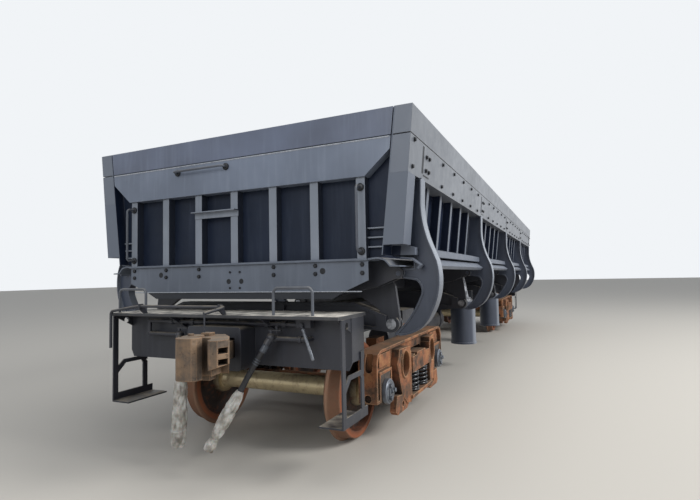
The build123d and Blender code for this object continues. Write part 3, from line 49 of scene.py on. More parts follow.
# %% [markdown]
# ## Colours and nodes
# A colour chart gives colours as hex values for the screen. The shader wants linear light, so one
# function turns the one into the other. A second helper adds any shader node with its settings,
# its plain values and its links. A third lays one tone over a colour, as dust lies over paint,
# which keeps every finish below short enough to read.


# %% Colour and node helpers
def linear(hex_code):
    """Linear RGBA of an sRGB hex colour: each channel below 0.04045 is divided by 12.92, and
    each above it is ((c + 0.055) / 1.055) to the power 2.4."""
    channels = [int(hex_code[i:i + 2], 16) / 255 for i in (1, 3, 5)]
    return (*[c / 12.92 if c <= 0.04045 else ((c + 0.055) / 1.055) ** 2.4 for c in channels], 1.0)


def add_node(tree, kind, links=None, values=None, stops=None, **settings):
    """One shader node, with its settings, its plain values, its links and its ramp's stops. A link
    comes from a socket, or from the first output of a node."""
    node = tree.nodes.new("ShaderNode" + kind)
    for key, value in settings.items():
        setattr(node, key, value)
    for socket, value in (values or {}).items():
        node.inputs[socket].default_value = value
    for socket, source in (links or {}).items():
        source = source.outputs[0] if isinstance(source, bpy.types.Node) else source
        tree.links.new(source, node.inputs[socket])
    if stops:
        ramp = node.color_ramp
        while len(ramp.elements) < len(stops):
            ramp.elements.new(0.5)
        for element, (place, colour) in zip(ramp.elements, stops):
            element.position = place
            element.color = linear(colour)
    return node


def lay_tone(tree, colour, tone, *ramps):
    """Lays a tone over a colour (a socket or a hex value) and returns the new colour and the tone's
    share. The share is the product of its ramps. A ramp is a value, the two ends between which it
    climbs from 0, and its top."""
    share = None
    for value, low, high, top in ramps:
        climb = add_node(tree, "MapRange", links={"Value": value},
                         values={"From Min": low, "From Max": high, "To Max": top})
        share = climb if share is None else add_node(tree, "Math", operation="MULTIPLY",
                                                     links={0: share, 1: climb})
    mixed = add_node(tree, "Mix", data_type="RGBA", links={0: share}, values={7: linear(tone)})
    if isinstance(colour, str):
        mixed.inputs[6].default_value = linear(colour)
    else:
        tree.links.new(colour, mixed.inputs[6])
    return mixed.outputs[2], share


def new_finish(name):
    """An empty material and its node tree."""
    material = bpy.data.materials.new(name)
    material.use_nodes = True
    material.node_tree.nodes.clear()
    return material, material.node_tree


def shade(material, links, values):
    """Gives a material its one shader, with linked sockets and plain ones, and its output."""
    shader = add_node(material.node_tree, "BsdfPrincipled", links=links, values=values)
    add_node(material.node_tree, "OutputMaterial", links={"Surface": shader})
    return material


# %% [markdown]
# ## Surfaces from arrays
# Every added piece is a surface on a grid: two parameters run along and round it, numpy works out
# all the points at once, and the faces follow from the grid's order. A piece that is repeated, such
# as a bolt, is one small template that is turned and moved to every place in a single array step.


# %% Mesh helpers
def tube_faces(rings, around):
    """Faces of a closed tube: a quad from each point to its next round the ring and along the tube,
    and one polygon on each end. They look outwards where the rings run anticlockwise about the
    tube's own direction."""
    start, point = np.arange(rings - 1)[:, None] * around, np.arange(around)
    after = (point + 1) % around
    wall = np.stack([start + point, start + after, start + around + after, start + around + point],
                    axis=-1).reshape(-1, 4)
    last = (rings - 1) * around + point
    return [tuple(face) for face in wall] + [tuple(point[::-1]), tuple(last)]


def tube_points(path, radius, around):
    """Rings round a path: at each point, centre + radius x (cos a, sin a) in the plane that is
    square to the path. The radius may be one number, one per point, or one per ring and angle."""
    path = np.asarray(path, float)
    tangent = np.gradient(path, axis=0)
    tangent /= np.linalg.norm(tangent, axis=1)[:, None]
    side = np.array((0.0, 0.0, 1.0))
    sides = np.empty_like(path)
    for index, direction in enumerate(tangent):
        side = side - direction * side.dot(direction)
        side /= np.linalg.norm(side)
        sides[index] = side
    third = np.cross(tangent, sides)
    angle = np.linspace(0, 2 * np.pi, around, endpoint=False)[None, :, None]
    ring = sides[:, None] * np.cos(angle) + third[:, None] * np.sin(angle)
    if np.ndim(radius) < 2:
        radius = np.reshape(radius, (-1, 1))
    radius = np.broadcast_to(radius, (len(path), around))
    return (path[:, None] + ring * radius[:, :, None]).reshape(-1, 3)


def make_piece(name, points, faces, body, finish, slot, smooth=True):
    """Puts points and faces into one object that rides on a body of the car."""
    mesh = bpy.data.meshes.new(name)
    mesh.from_pydata(np.asarray(points).tolist(), [], [tuple(int(i) for i in face) for face in faces])
    mesh.validate()
    mesh.polygons.foreach_set("use_smooth", np.full(len(mesh.polygons), smooth))
    mesh.materials.append(finish)
    piece = bpy.data.objects.new(name, mesh)
    bpy.context.scene.collection.objects.link(piece)
    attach(piece, body)
    return piece


def stamp(shape, places, turns, sizes=1.0):
    """Copies of a shape, which is a pair of points and faces: every point is scaled, turned and
    moved for each place at once. One turn or one size may serve all places."""
    template, faces = shape
    places = np.asarray(places)
    turns = np.broadcast_to(turns, (len(places), 3, 3))
    sizes = np.broadcast_to(sizes, (len(places),))
    points = np.einsum("nij,pj->npi", turns, template) * sizes[:, None, None] + places[:, None]
    shifts = np.arange(len(places)) * len(template)
    return points.reshape(-1, 3), [tuple(i + s for i in face) for s in shifts for face in faces]


def joined(shapes):
    """One shape from several: the numbers in each one's faces go up by the points before it."""
    shifts = np.cumsum([0] + [len(points) for points, _ in shapes])
    faces = [tuple(i + s for i in face) for s, (_, part) in zip(shifts, shapes) for face in part]
    return np.concatenate([points for points, _ in shapes]), faces


def facing(normal):
    """Rotation whose third column is the normal and whose first column is level, for a template
    that stands on its own Z = 0."""
    normal = np.asarray(normal, float) / np.linalg.norm(normal)
    side = np.cross((0.0, 0.0, 1.0), normal)
    side /= np.linalg.norm(side)
    return np.stack([side, np.cross(normal, side), normal], axis=1)


# %% [markdown]
# ## The camera
# The photographer stood off the near right corner with a wide lens, a little above waist height.
# The place, the two angles and a slight tilt of the horizon were worked out from the car's own
# straight edges. A camera looks along its own -Z, so its matrix is built from three directions.

# %% Camera
PHOTO_WIDTH = 700
YAW, PITCH, ROLL = math.radians(24.479), math.radians(3.115), math.radians(-1.160)
EYE = np.array((8.9828, 2.5340, 1.4187 + RAIL_TOP))
ahead = np.array((-math.cos(YAW) * math.cos(PITCH), -math.sin(YAW) * math.cos(PITCH),
                  math.sin(PITCH)))
level_right = np.array((-math.sin(YAW), math.cos(YAW), 0.0))
level_up = np.cross(level_right, ahead)
right = math.cos(ROLL) * level_right + math.sin(ROLL) * level_up
up = -math.sin(ROLL) * level_right + math.cos(ROLL) * level_up

camera_data = bpy.data.cameras.new("photo_camera")
camera_data.lens = 24.53
camera_data.sensor_width = 36.0
camera_data.clip_end = 400
camera = bpy.data.objects.new("photo_camera", camera_data)
camera.matrix_world = Matrix([[*(float(v) for v in row), float(place)] for row, place in
                              zip(np.stack([right, up, -ahead], axis=1), EYE)] + [[0, 0, 0, 1]])
bpy.context.scene.collection.objects.link(camera)
bpy.context.scene.camera = camera
print("focal length in photo pixels:",
      round(camera_data.lens / camera_data.sensor_width * PHOTO_WIDTH, 1))

# %% [markdown]
# ## The studio
# The car was photographed under a white overcast sky, which lights it like one huge soft box. A
# plain pale world does the same. The part of the world that the camera and the reflections see is
# white, while the part that lights the car is a little weaker and bluer, so colours render as
# they are written. The sky was brightest on the car's right, where the top boards shine, so one
# large lamp stands high on that side, and a wide one overhead and a weak one in front fill in.

# %% World, lamps and floor
SKY_WHITE, SKY_LIGHT, SKY_STRENGTH = "#f1f4f7", "#dfe6f0", 0.62
world = bpy.data.worlds.new("soft_studio")
world.use_nodes = True
sky = world.node_tree
sky.nodes.clear()
rays = add_node(sky, "LightPath")
seen = rays.outputs["Is Camera Ray"]
for ray in ("Is Glossy Ray", "Is Transmission Ray"):
    seen = add_node(sky, "Math", operation="MAXIMUM", links={0: seen, 1: rays.outputs[ray]})
backdrop = add_node(sky, "Background", values={"Color": linear(SKY_WHITE), "Strength": 1.0})
lighting = add_node(sky, "Background", values={"Color": linear(SKY_LIGHT), "Strength": SKY_STRENGTH})
mixed = add_node(sky, "MixShader", links={0: seen, 1: lighting, 2: backdrop})
add_node(sky, "OutputWorld", links={"Surface": mixed})
bpy.context.scene.world = world
bpy.context.scene.view_settings.view_transform = "Standard"

# Each lamp: name, place, the point it looks at, diameter and power in watts
for name, place, target, size, power in (
    ("right_softbox", (2.0, 17.0, 11.0), (0.0, 1.5, 1.8), 9.0, 3250),
    ("overhead_softbox", (4.0, 2.0, 10.0), (4.0, 0.0, 1.0), 8.0, 420),
    ("front_softbox", (15.0, 1.0, 5.5), (5.8, 0.0, 1.4), 5.0, 260),
):
    lamp_data = bpy.data.lights.new(name, "AREA")
    lamp_data.shape = "DISK"
    lamp_data.size = size
    lamp_data.energy = power
    lamp = bpy.data.objects.new(name, lamp_data)
    turn = facing(np.array(place) - np.array(target))
    lamp.matrix_world = Matrix.Translation(place) @ Matrix(turn.tolist()).to_4x4()
    bpy.context.scene.collection.objects.link(lamp)

FLOOR_HALF = 90.0
floor_mesh = bpy.data.meshes.new("studio_floor")
corners = [(x * FLOOR_HALF, y * FLOOR_HALF, 0) for x, y in ((-1, -1), (1, -1), (1, 1), (-1, 1))]
floor_mesh.from_pydata(corners, [], [(0, 1, 2, 3)])
floor_finish, _ = new_finish("pale_floor")
floor_mesh.materials.append(
    shade(floor_finish, {}, {"Base Color": linear("#b9b4ab"), "Roughness": 0.9}))
floor = bpy.data.objects.new("studio_floor", floor_mesh)
bpy.context.scene.collection.objects.link(floor)
print("floor is", 2 * FLOOR_HALF, "m wide")

# %% [markdown]
# ## Alkyd paint on steel plate
# The box and frame are plate steel sprayed with slate-coloured alkyd enamel, now a little dusty.
# The eye sees a satin film with a faint orange peel, broad clouds where the coat is thicker, soft
# run-off streaks on upright faces, beige dust wherever a face looks up, and paler worn edges. All
# of these come from noise on object coordinates and from the way each face points.


# %% Paint
def resting_normal(tree):
    """The geometry node, and the face's normal split into x, y and z as the car stands at rest, so
    that dust and shade stay on the faces they lie on when the box tips."""
    surface = add_node(tree, "NewGeometry")
    resting = add_node(tree, "VectorTransform", links={0: surface.outputs["True Normal"]},
                       vector_type="NORMAL", convert_from="WORLD", convert_to="OBJECT")
    return surface, add_node(tree, "SeparateXYZ", links={0: resting})


# A clean film mirrors more of the sky than one that fine dust has dulled
CLEAN_FILM_IOR, DULL_FILM_IOR = 1.5, 1.32


def paint(name, deep, body, streak, edge, dust, roughness, dust_share, ior=CLEAN_FILM_IOR):
    """Sprayed enamel. Colour = clouds between two tones, plus streaks, plus dust by how far the
    face looks up, plus wear where a rounded normal leaves the flat one."""
    material, tree = new_finish(name)
    place = add_node(tree, "TexCoord").outputs["Object"]
    clouds = add_node(tree, "TexNoise", links={"Vector": place}, values={"Scale": 1.3, "Detail": 4.0})
    # Streaks are 60 mm wide and a metre long, so the grid is stretched along Z
    tall = add_node(tree, "Mapping", links={"Vector": place}, values={"Scale": (7.0, 7.0, 0.7)})
    runs = add_node(tree, "TexNoise", links={"Vector": tall}, values={"Scale": 2.4, "Detail": 5.0})
    grime = add_node(tree, "TexNoise", links={"Vector": place},
                     values={"Scale": 9.0, "Detail": 8.0, "Roughness": 0.62})
    surface, axes = resting_normal(tree)
    rounded = add_node(tree, "Bevel", values={"Radius": 0.004}, samples=4)
    bend = add_node(tree, "VectorMath", operation="DOT_PRODUCT",
                    links={0: rounded, 1: surface.outputs["True Normal"]})
    patches = (grime, 0.32, 0.62, 1.0)
    colour, _ = lay_tone(tree, deep, body, (clouds, 0.35, 0.65, 1.0))
    colour, _ = lay_tone(tree, colour, streak, (runs, 0.5, 0.75, 0.35))
    colour, dusty = lay_tone(tree, colour, dust, (axes.outputs["Z"], 0.25, 0.95, dust_share), patches)
    colour, _ = lay_tone(tree, colour, edge, (bend.outputs["Value"], 0.99, 0.85, 0.55), patches)
    gloss = add_node(tree, "MapRange", links={"Value": grime},
                     values={"From Min": 0.3, "From Max": 0.7,
                             "To Min": roughness - 0.06, "To Max": roughness + 0.1})
    matt = add_node(tree, "Math", operation="MULTIPLY_ADD", links={0: dusty, 2: gloss}, values={1: 0.4})
    # Orange peel is about 2 mm across; the plate's own waves are 0.4 m long and very shallow
    peel = add_node(tree, "TexNoise", links={"Vector": place}, values={"Scale": 380.0, "Detail": 1.0})
    waves = add_node(tree, "TexNoise", links={"Vector": place}, values={"Scale": 2.5, "Detail": 1.0})
    relief = add_node(tree, "Bump", links={"Height": waves, "Normal": rounded},
                      values={"Strength": 0.5, "Distance": 0.006})
    relief = add_node(tree, "Bump", links={"Height": peel, "Normal": relief},
                      values={"Strength": 0.12, "Distance": 0.0006})
    return shade(material, {"Base Color": colour, "Roughness": matt, "Normal": relief}, {"IOR": ior})


SLATE_ENAMEL = paint("slate_alkyd_enamel", "#585f6b", "#6a727f", "#7b838f", "#a3a8b0", "#8c8478", 0.38, 0.75)
BAND_ENAMEL = paint("sunned_slate_enamel", "#656e7e", "#7b8597", "#8d96a5", "#adb2ba", "#9a9285", 0.36, 0.7)
TOP_ENAMEL = paint("topboard_slate_enamel", "#555c6d", "#697287", "#7b8496", "#a6abb5", "#9a9285", 0.36, 0.7)
SIDE_ENAMEL = paint("chalked_slate_enamel", "#5b5f66", "#696d74", "#797d83", "#b9bbbd", "#a9a196", 0.34, 0.7)
RIB_ENAMEL = paint("rib_slate_enamel", "#767d88", "#8a919d", "#979ea9", "#adb2b9", "#8c8478", 0.38, 0.7)
# Painted shade: the end wall's recessed sheets are laid near black for the shade in the recess
RECESS_ENAMEL = paint("shaded_slate_enamel", "#141d2d", "#1e283b", "#3a4252", "#454c57", "#6b675f",
                      0.46, 0.6, DULL_FILM_IOR)
# Painted shade: the door's load sheet is laid in near-black slate for the shade between its ribs
PANEL_ENAMEL = paint("side_panel_enamel", "#121a2c", "#1b2539", "#2a3140", "#9297a0", "#8c8478",
                     0.42, 0.75, DULL_FILM_IOR)
SILL_ENAMEL = paint("end_sill_enamel", "#585f6b", "#6a727f", "#7b838f", "#a3a8b0", "#8c8478", 0.38, 0.75)
# Partly painted shade: the underframe's near-black enamel is laid as dark as the shade under the box
BLACK_ENAMEL_AND_SHADE = paint("black_alkyd_enamel_and_painted_shade", "#22242b", "#2f3139", "#3e4149", "#7c8087", "#8f8677", 0.42, 0.9)
ARM_ENAMEL = paint("arm_slate_enamel", "#343a47", "#434a59", "#545b69", "#b4b8be", "#8a8277", 0.36, 0.8)
IRON_ENAMEL = paint("dark_iron_enamel", "#474b54", "#5a5f69", "#6b707a", "#9da1a8", "#9a9285", 0.34, 0.5)
RAIL_ENAMEL = paint("handled_rail_enamel", "#474b52", "#595d65", "#6c7078", "#9da1a8", "#9a9285", 0.34, 0.5)
DECK_ENAMEL = paint("walked_deck_enamel", "#303136", "#424347", "#5c5b57", "#b4aea4", "#ddd6c9", 0.5, 1.0)
print("enamels:", len([m for m in bpy.data.materials if "enamel" in m.name]))

# %% [markdown]
# ## A second tone by place
# Some imported pieces carry a second tone, mostly painted light: the arms' rims are laid pale as a
# painted highlight where they look out or up, the ribs' outer faces are laid pale as painted light and
# their sides dark as painted shade, the side bands' end faces are laid in one flat tone as painted
# shade, the posts take the light of the open end, and the sill's lower strip lies in shade. A mask
# that is 1 in such a place is worked out from the point or from the way that its face looks.


# %% Second tones
def looks_along(tree, axis):
    """How much a face looks along one axis: that part of its normal, with its sign."""
    return resting_normal(tree)[1].outputs[axis]


def turned_to(tree, axis):
    """How much a face looks along one axis, either way: the absolute part of its normal."""
    return add_node(tree, "Math", operation="ABSOLUTE", links={0: looks_along(tree, axis)})


def toned(material, tone, *ramps):
    """Lays a tone over the colour that reaches a shader, by a share that is a product of ramps."""
    tree = material.node_tree
    base = tree.nodes["Principled BSDF"].inputs["Base Color"]
    tree.links.new(lay_tone(tree, base.links[0].from_socket, tone, *ramps)[0], base)


# Painted light: the rims are laid pale where they look out or up, a painted highlight, and stay dark where
# they turn under the car, a painted shade
tree = ARM_ENAMEL.node_tree
toned(ARM_ENAMEL, "#8b919a", (turned_to(tree, "X"), 0.6, 0.4, 0.9),
      (looks_along(tree, "Z"), -0.5, 0.25, 1.0))
# Painted shade: the ribs' side faces, which look across the car into the recess, are laid near black
toned(RIB_ENAMEL, "#202633", (turned_to(RIB_ENAMEL.node_tree, "Y"), 0.6, 0.8, 0.95))
# Painted shade: the side bands' end faces, which look along the car, are laid in one flat slate tone without
# the pale dust and edges of the lit sides
toned(SIDE_ENAMEL, "#666d79", (turned_to(SIDE_ENAMEL.node_tree, "X"), 0.6, 0.8, 1.0))

# The load sheet leans out by 0.1152 for each metre of height, and the ribs stand 85 mm off it
PANEL_LEAN, PANEL_FOOT, RIB_STARTS, RIB_STANDS = 0.1152, 1.1382, 0.078, 0.083
POST_STARTS, POST_STANDS = 5.594, 5.597
tree = PANEL_ENAMEL.node_tree
axes = add_node(tree, "SeparateXYZ", links={0: add_node(tree, "TexCoord").outputs["Object"]})
across = add_node(tree, "Math", operation="ABSOLUTE", links={0: axes.outputs["Y"]})
lean = add_node(tree, "Math", operation="MULTIPLY_ADD", links={0: axes.outputs["Z"], 2: across},
                values={1: -PANEL_LEAN})
# Painted light: the ribs' outer faces are laid pale as lit lines over the sheet's painted shade
toned(PANEL_ENAMEL, "#6a707b", (lean, PANEL_FOOT + RIB_STARTS, PANEL_FOOT + RIB_STANDS, 0.85))
along = add_node(tree, "Math", operation="ABSOLUTE", links={0: axes.outputs["X"]})
toned(PANEL_ENAMEL, "#6a717d", (along, POST_STARTS, POST_STANDS, 1.0),
      (turned_to(tree, "X"), 0.6, 0.8, 1.0))

# The sill turns dark below its fold, within 3 mm of height
STRIP_ABOVE, STRIP_BELOW = 1.3335, 1.3305
tree = SILL_ENAMEL.node_tree
axes = add_node(tree, "SeparateXYZ", links={0: add_node(tree, "TexCoord").outputs["Object"]})
toned(SILL_ENAMEL, "#23272f", (axes.outputs["Z"], STRIP_ABOVE, STRIP_BELOW, 1.0))
print("panel enamel mixes", sum("Mix" in node.name for node in PANEL_ENAMEL.node_tree.nodes), "times")

# %% [markdown]
# ## Cast steel with rust
# Side frames, bolsters and couplers are sand castings that stand bare in the weather. Sand leaves
# a grain of a millimetre or so, and rust comes as an orange bloom over brown scale, palest on the
# ridges, which hands and chains rub and which also carry a painted highlight of their rounded edges;
# holes and corners get painted shade. Two noises of different size choose the tone, a third makes the
# grain, and rust has no gloss, so the roughness stays high everywhere.


# %% Castings
def rusty(name, scale_tone, bloom, pale, dark, ridge, dust, bloom_share):
    """Rusted casting: brown scale with orange bloom, dark pits, pale ridges (wear and a painted highlight),
    dust on top, and painted shade in holes and corners.
    """
    material, tree = new_finish(name)
    place = add_node(tree, "TexCoord").outputs["Object"]
    large = add_node(tree, "TexNoise", links={"Vector": place},
                     values={"Scale": 4.5, "Detail": 8.0, "Roughness": 0.65})
    tone = add_node(tree, "ValToRGB", links={0: large}, stops=[
        (0.30, dark), (0.44, scale_tone), (0.60 - bloom_share * 0.1, bloom), (0.76, pale)])
    spots = add_node(tree, "TexNoise", links={"Vector": place},
                     values={"Scale": 26.0, "Detail": 6.0, "Roughness": 0.7})
    surface, axes = resting_normal(tree)
    rounded = add_node(tree, "Bevel", values={"Radius": 0.012}, samples=4)
    bend = add_node(tree, "VectorMath", operation="DOT_PRODUCT",
                    links={0: rounded, 1: surface.outputs["True Normal"]})
    open_sky = add_node(tree, "AmbientOcclusion", values={"Distance": 0.22}, samples=8)
    colour = tone.outputs[0]
    # Painted shade comes last: ambient occlusion finds where the casting is hemmed in, and holes and corners
    # are laid dark
    for layer, ramp in (
        (bloom, (spots, 0.52, 0.68, 0.6 * bloom_share + 0.15)),
        (dark, (spots, 0.44, 0.30, 0.7)),
        (dust, (axes.outputs["Z"], 0.4, 1.0, 0.45)),
        (ridge, (bend.outputs["Value"], 0.985, 0.8, 0.75)),
        (dark, (open_sky.outputs["AO"], 0.62, 0.22, 0.85)),
    ):
        colour, _ = lay_tone(tree, colour, layer, ramp)
    # Sand grain, drawn at 4 mm so that it still shows
    grain = add_node(tree, "TexNoise", links={"Vector": place}, values={"Scale": 240.0, "Detail": 3.0})
    lumps = add_node(tree, "Bump", links={"Height": spots, "Normal": rounded},
                     values={"Strength": 0.6, "Distance": 0.004})
    relief = add_node(tree, "Bump", links={"Height": grain, "Normal": lumps},
                      values={"Strength": 0.5, "Distance": 0.0015})
    return shade(material, {"Base Color": colour, "Normal": relief}, {"Roughness": 0.86, "IOR": 1.45})


FRAME_CASTING = rusty("rusty_frame_casting", "#584334", "#87563a", "#a87c52", "#221814", "#cba078",
                      "#84705a", 0.7)
COUPLER_CASTING = rusty("rusty_coupler_casting", "#5d5248", "#7e6853", "#91877b", "#261d18", "#b08a68",
                        "#887c6d", 0.3)
print("castings:", FRAME_CASTING.name, COUPLER_CASTING.name)

# %% [markdown]
# ## Rolled wheel steel
# One forging shows four finishes: rust on the rim's sides, dark scale on the plate, a rolled bright
# tread, and an oiled axle. They are rings about the axle, so the colour is chosen by the distance
# from the axle's line. All four wheelsets share the material: taking the size of x twice, less
# the bogie's and then the axle's place, folds the four axle lines onto one.

# %% Wheel steel
BOGIE_X, AXLE_X, AXLE_Z = 4.175, 0.875, 0.42 + RAIL_TOP
WHEEL_STEEL, tree = new_finish("rolled_wheel_steel")
place = add_node(tree, "TexCoord").outputs["Object"]
axes = add_node(tree, "SeparateXYZ", links={0: place})
fold = axes.outputs["X"]
for middle in (BOGIE_X, AXLE_X):
    fold = add_node(tree, "Math", operation="ABSOLUTE", links={0: fold})
    fold = add_node(tree, "Math", operation="SUBTRACT", links={0: fold}, values={1: middle})
drop = add_node(tree, "Math", operation="SUBTRACT", links={0: axes.outputs["Z"]}, values={1: AXLE_Z})
plane = add_node(tree, "CombineXYZ", links={0: fold, 1: drop})
radius = add_node(tree, "VectorMath", operation="LENGTH", links={0: plane}).outputs["Value"]
across = add_node(tree, "Math", operation="ABSOLUTE", links={0: axes.outputs["Y"]})
noise = add_node(tree, "TexNoise", links={"Vector": place},
                 values={"Scale": 18.0, "Detail": 7.0, "Roughness": 0.65})
shift = add_node(tree, "Math", operation="MULTIPLY_ADD", links={0: noise, 2: radius}, values={1: 0.03})
rings = add_node(tree, "ValToRGB", links={0: shift}, stops=[
    (0.100, "#dccba4"), (0.130, "#b5a37f"), (0.165, "#2b211b"), (0.350, "#241c18"),
    (0.385, "#6b3d25"), (0.415, "#84492a"), (0.428, "#6d4c38"), (0.448, "#7c5f4b")])
# Rust blooms over the rings, and the bearing caps beyond y = 1.06 are painted
colour, _ = lay_tone(tree, rings.outputs[0], "#7a4122", (noise, 0.5, 0.72, 0.5))
colour, _ = lay_tone(tree, colour, "#666b73", (across, 1.055, 1.060, 1.0))
inner = add_node(tree, "MapRange", links={"Value": radius}, values={"From Min": 0.13, "From Max": 0.12})
metal = add_node(tree, "Math", operation="MULTIPLY", links={0: inner}, values={1: 0.45})
rough = add_node(tree, "MapRange", links={"Value": inner}, values={"To Min": 0.78, "To Max": 0.34})
relief = add_node(tree, "Bump", links={"Height": noise}, values={"Strength": 0.4, "Distance": 0.002})
shade(WHEEL_STEEL, {"Base Color": colour, "Metallic": metal, "Roughness": rough, "Normal": relief}, {})
print("wheel steel has", len(tree.nodes), "nodes")

# %% [markdown]
# ## Small finishes
# Short materials: black spring wire, grey machined bearing steel, bright worn steel, the black
# rubber of the hoses, and oiled or painted fasteners.


# %% Small finishes
def plain_metal(name, low, high, scale, roughness, metallic, relief_depth):
    """Two tones mixed by one noise, which also roughens the surface a little."""
    material, tree = new_finish(name)
    place = add_node(tree, "TexCoord").outputs["Object"]
    noise = add_node(tree, "TexNoise", links={"Vector": place},
                     values={"Scale": scale, "Detail": 7.0, "Roughness": 0.6})
    tone = add_node(tree, "ValToRGB", links={0: noise}, stops=[(0.36, low), (0.64, high)])
    rough = add_node(tree, "MapRange", links={"Value": noise},
                     values={"From Min": 0.3, "From Max": 0.7,
                             "To Min": roughness - 0.1, "To Max": roughness + 0.1})
    relief = add_node(tree, "Bump", links={"Height": noise},
                      values={"Strength": 0.5, "Distance": relief_depth})
    return shade(material, {"Base Color": tone, "Roughness": rough, "Normal": relief},
                 {"Metallic": metallic})


SPRING_BLACK = plain_metal("blackened_spring_steel", "#0b0c0f", "#25272c", 30.0, 0.24, 0.0, 0.0004)
BEARING_STEEL = plain_metal("machined_bearing_steel", "#464a51", "#747a82", 14.0, 0.42, 0.4, 0.0006)
ADAPTER_STEEL = plain_metal("greasy_adapter_steel", "#2a2523", "#5d5148", 16.0, 0.55, 0.2, 0.0010)
WORN_STEEL = plain_metal("worn_bright_steel", "#5f6166", "#a9abb0", 22.0, 0.38, 0.8, 0.0004)
HOSE_RUBBER = plain_metal("vulcanised_hose_rubber", "#17181b", "#2a2b2f", 40.0, 0.58, 0.0, 0.0005)
# Also painted shade: the same black fills the band's slots and the sill's holes
BLACK_FASTENERS_AND_HOLE_SHADE = plain_metal("oiled_black_fastener_steel_and_hole_shade", "#0d0f13", "#22252b", 60.0, 0.4, 0.2, 0.0003)
FASTENER_SLATE = plain_metal("painted_fastener_steel", "#363b43", "#555b65", 45.0, 0.42, 0.0, 0.0003)
print("finishes so far:", len(bpy.data.materials))

# %% [markdown]
# ## Finishes on the imported steel
# The imported shapes stay as they are and only get their finish, node by node. What the table does
# not name, such as the frame, the bearers and the pipes, is laid in near-black enamel: partly their
# own dark paint, and partly painted shade, as dark as the shade under the box.

# %% Give every imported node its finish
NODE_FINISHES = {
    "wheelset": WHEEL_STEEL, "springs": SPRING_BLACK, "bearings": ADAPTER_STEEL, "bogie": FRAME_CASTING,
    "couplers": COUPLER_CASTING, "end_platforms": DECK_ENAMEL, "pivot_pins": WORN_STEEL,
    "stages": WORN_STEEL, "cylinder_rods": WORN_STEEL, "hose": HOSE_RUBBER, "door_arms": ARM_ENAMEL,
    "door_band": SIDE_ENAMEL, "door_topboard": SIDE_ENAMEL, "door_panel": PANEL_ENAMEL,
    "end_wall_sheets": RECESS_ENAMEL, "end_wall_ribs": RIB_ENAMEL, "end_wall_steps": RIB_ENAMEL,
    "end_wall_bands": BAND_ENAMEL, "end_wall_topboards": TOP_ENAMEL, "grab_irons": IRON_ENAMEL,
    "handrails": RAIL_ENAMEL, "end_sill_plates": SILL_ENAMEL, "cylinder_barrels": ARM_ENAMEL,
    "box_floor": SLATE_ENAMEL,
}
for node_name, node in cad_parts.items():
    finish = next((value for key, value in NODE_FINISHES.items() if key in node_name), BLACK_ENAMEL_AND_SHADE)
    node.data.materials.clear()
    node.data.materials.append(finish)
print(len(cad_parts), "packed nodes have a finish")

# %% [markdown]
# ## Hoses
# Two rubber air hoses hang from their cocks. Each is a spline whose control points are the same
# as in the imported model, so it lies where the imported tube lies. Order 3 gives a smooth curve, and
# the order is set after the points, because before them it would fall back to straight runs.

# %% Hoses
HOSE_RADIUS = 0.022
HOSES = {
    "brake_hose": ((5.962, 0.452, 0.912), (6.008, 0.405, 0.810), (6.056, 0.356, 0.700),
                   (6.094, 0.312, 0.590)),
    "tipping_hose": ((5.968, -0.398, 0.912), (6.024, -0.345, 0.828), (6.072, -0.290, 0.738),
                     (6.094, -0.258, 0.640)),
}


def hose_curve(name, route):
    """Spline of order 3 through its end points, drawn as a round tube."""
    curve = bpy.data.curves.new(name, "CURVE")
    curve.dimensions = "3D"
    curve.bevel_depth = HOSE_RADIUS
    curve.bevel_resolution = 6
    curve.resolution_u = 24
    curve.use_fill_caps = True
    spline = curve.splines.new("NURBS")
    spline.points.add(len(route) - 1)
    spline.points.foreach_set("co", np.array([(x, y, z + RAIL_TOP, 1.0) for x, y, z in route]).ravel())
    spline.order_u = 3
    spline.use_endpoint_u = True
    return bpy.data.objects.new(name, curve)


hose_pieces = {}
for name, route in HOSES.items():
    piece = hose_curve(name + "_rubber", route)
    piece.data.materials.append(HOSE_RUBBER)
    bpy.context.scene.collection.objects.link(piece)
    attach(piece, "underframe")
    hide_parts(name)
    hose_pieces[name] = piece


def hose_line(name):
    """Points along the middle of a hose, read from the spline as a mesh without thickness."""
    bare = hose_pieces[name].data.copy()
    bare.bevel_depth = 0
    holder = bpy.data.objects.new(name + "_line", bare)
    line = bpy.data.meshes.new_from_object(holder)
    points = np.empty(len(line.vertices) * 3)
    line.vertices.foreach_get("co", points)
    bpy.data.objects.remove(holder)
    bpy.data.curves.remove(bare)
    bpy.data.meshes.remove(line)
    return points.reshape(-1, 3)


hose_lines = {name: hose_line(name) for name in HOSES}

# %% [markdown]
# ## Film round the hose ends
# The coupling heads hang wrapped in white packing film against dirt, tied once with a strip. Film
# creases sharply and lies smooth between, so the surface is a turned bag whose radius drops along
# crossing crease lines. A crease line is where a sine passes zero: one minus its absolute value
# gives a sharp valley there and nothing elsewhere.

# %% Film material
WHITE_FILM, tree = new_finish("crumpled_white_film")
place = add_node(tree, "TexCoord").outputs["Object"]
cells = add_node(tree, "TexVoronoi", feature="DISTANCE_TO_EDGE", links={"Vector": place},
                 values={"Scale": 15.0})
noise = add_node(tree, "TexNoise", links={"Vector": place},
                 values={"Scale": 16.0, "Detail": 6.0, "Roughness": 0.5})
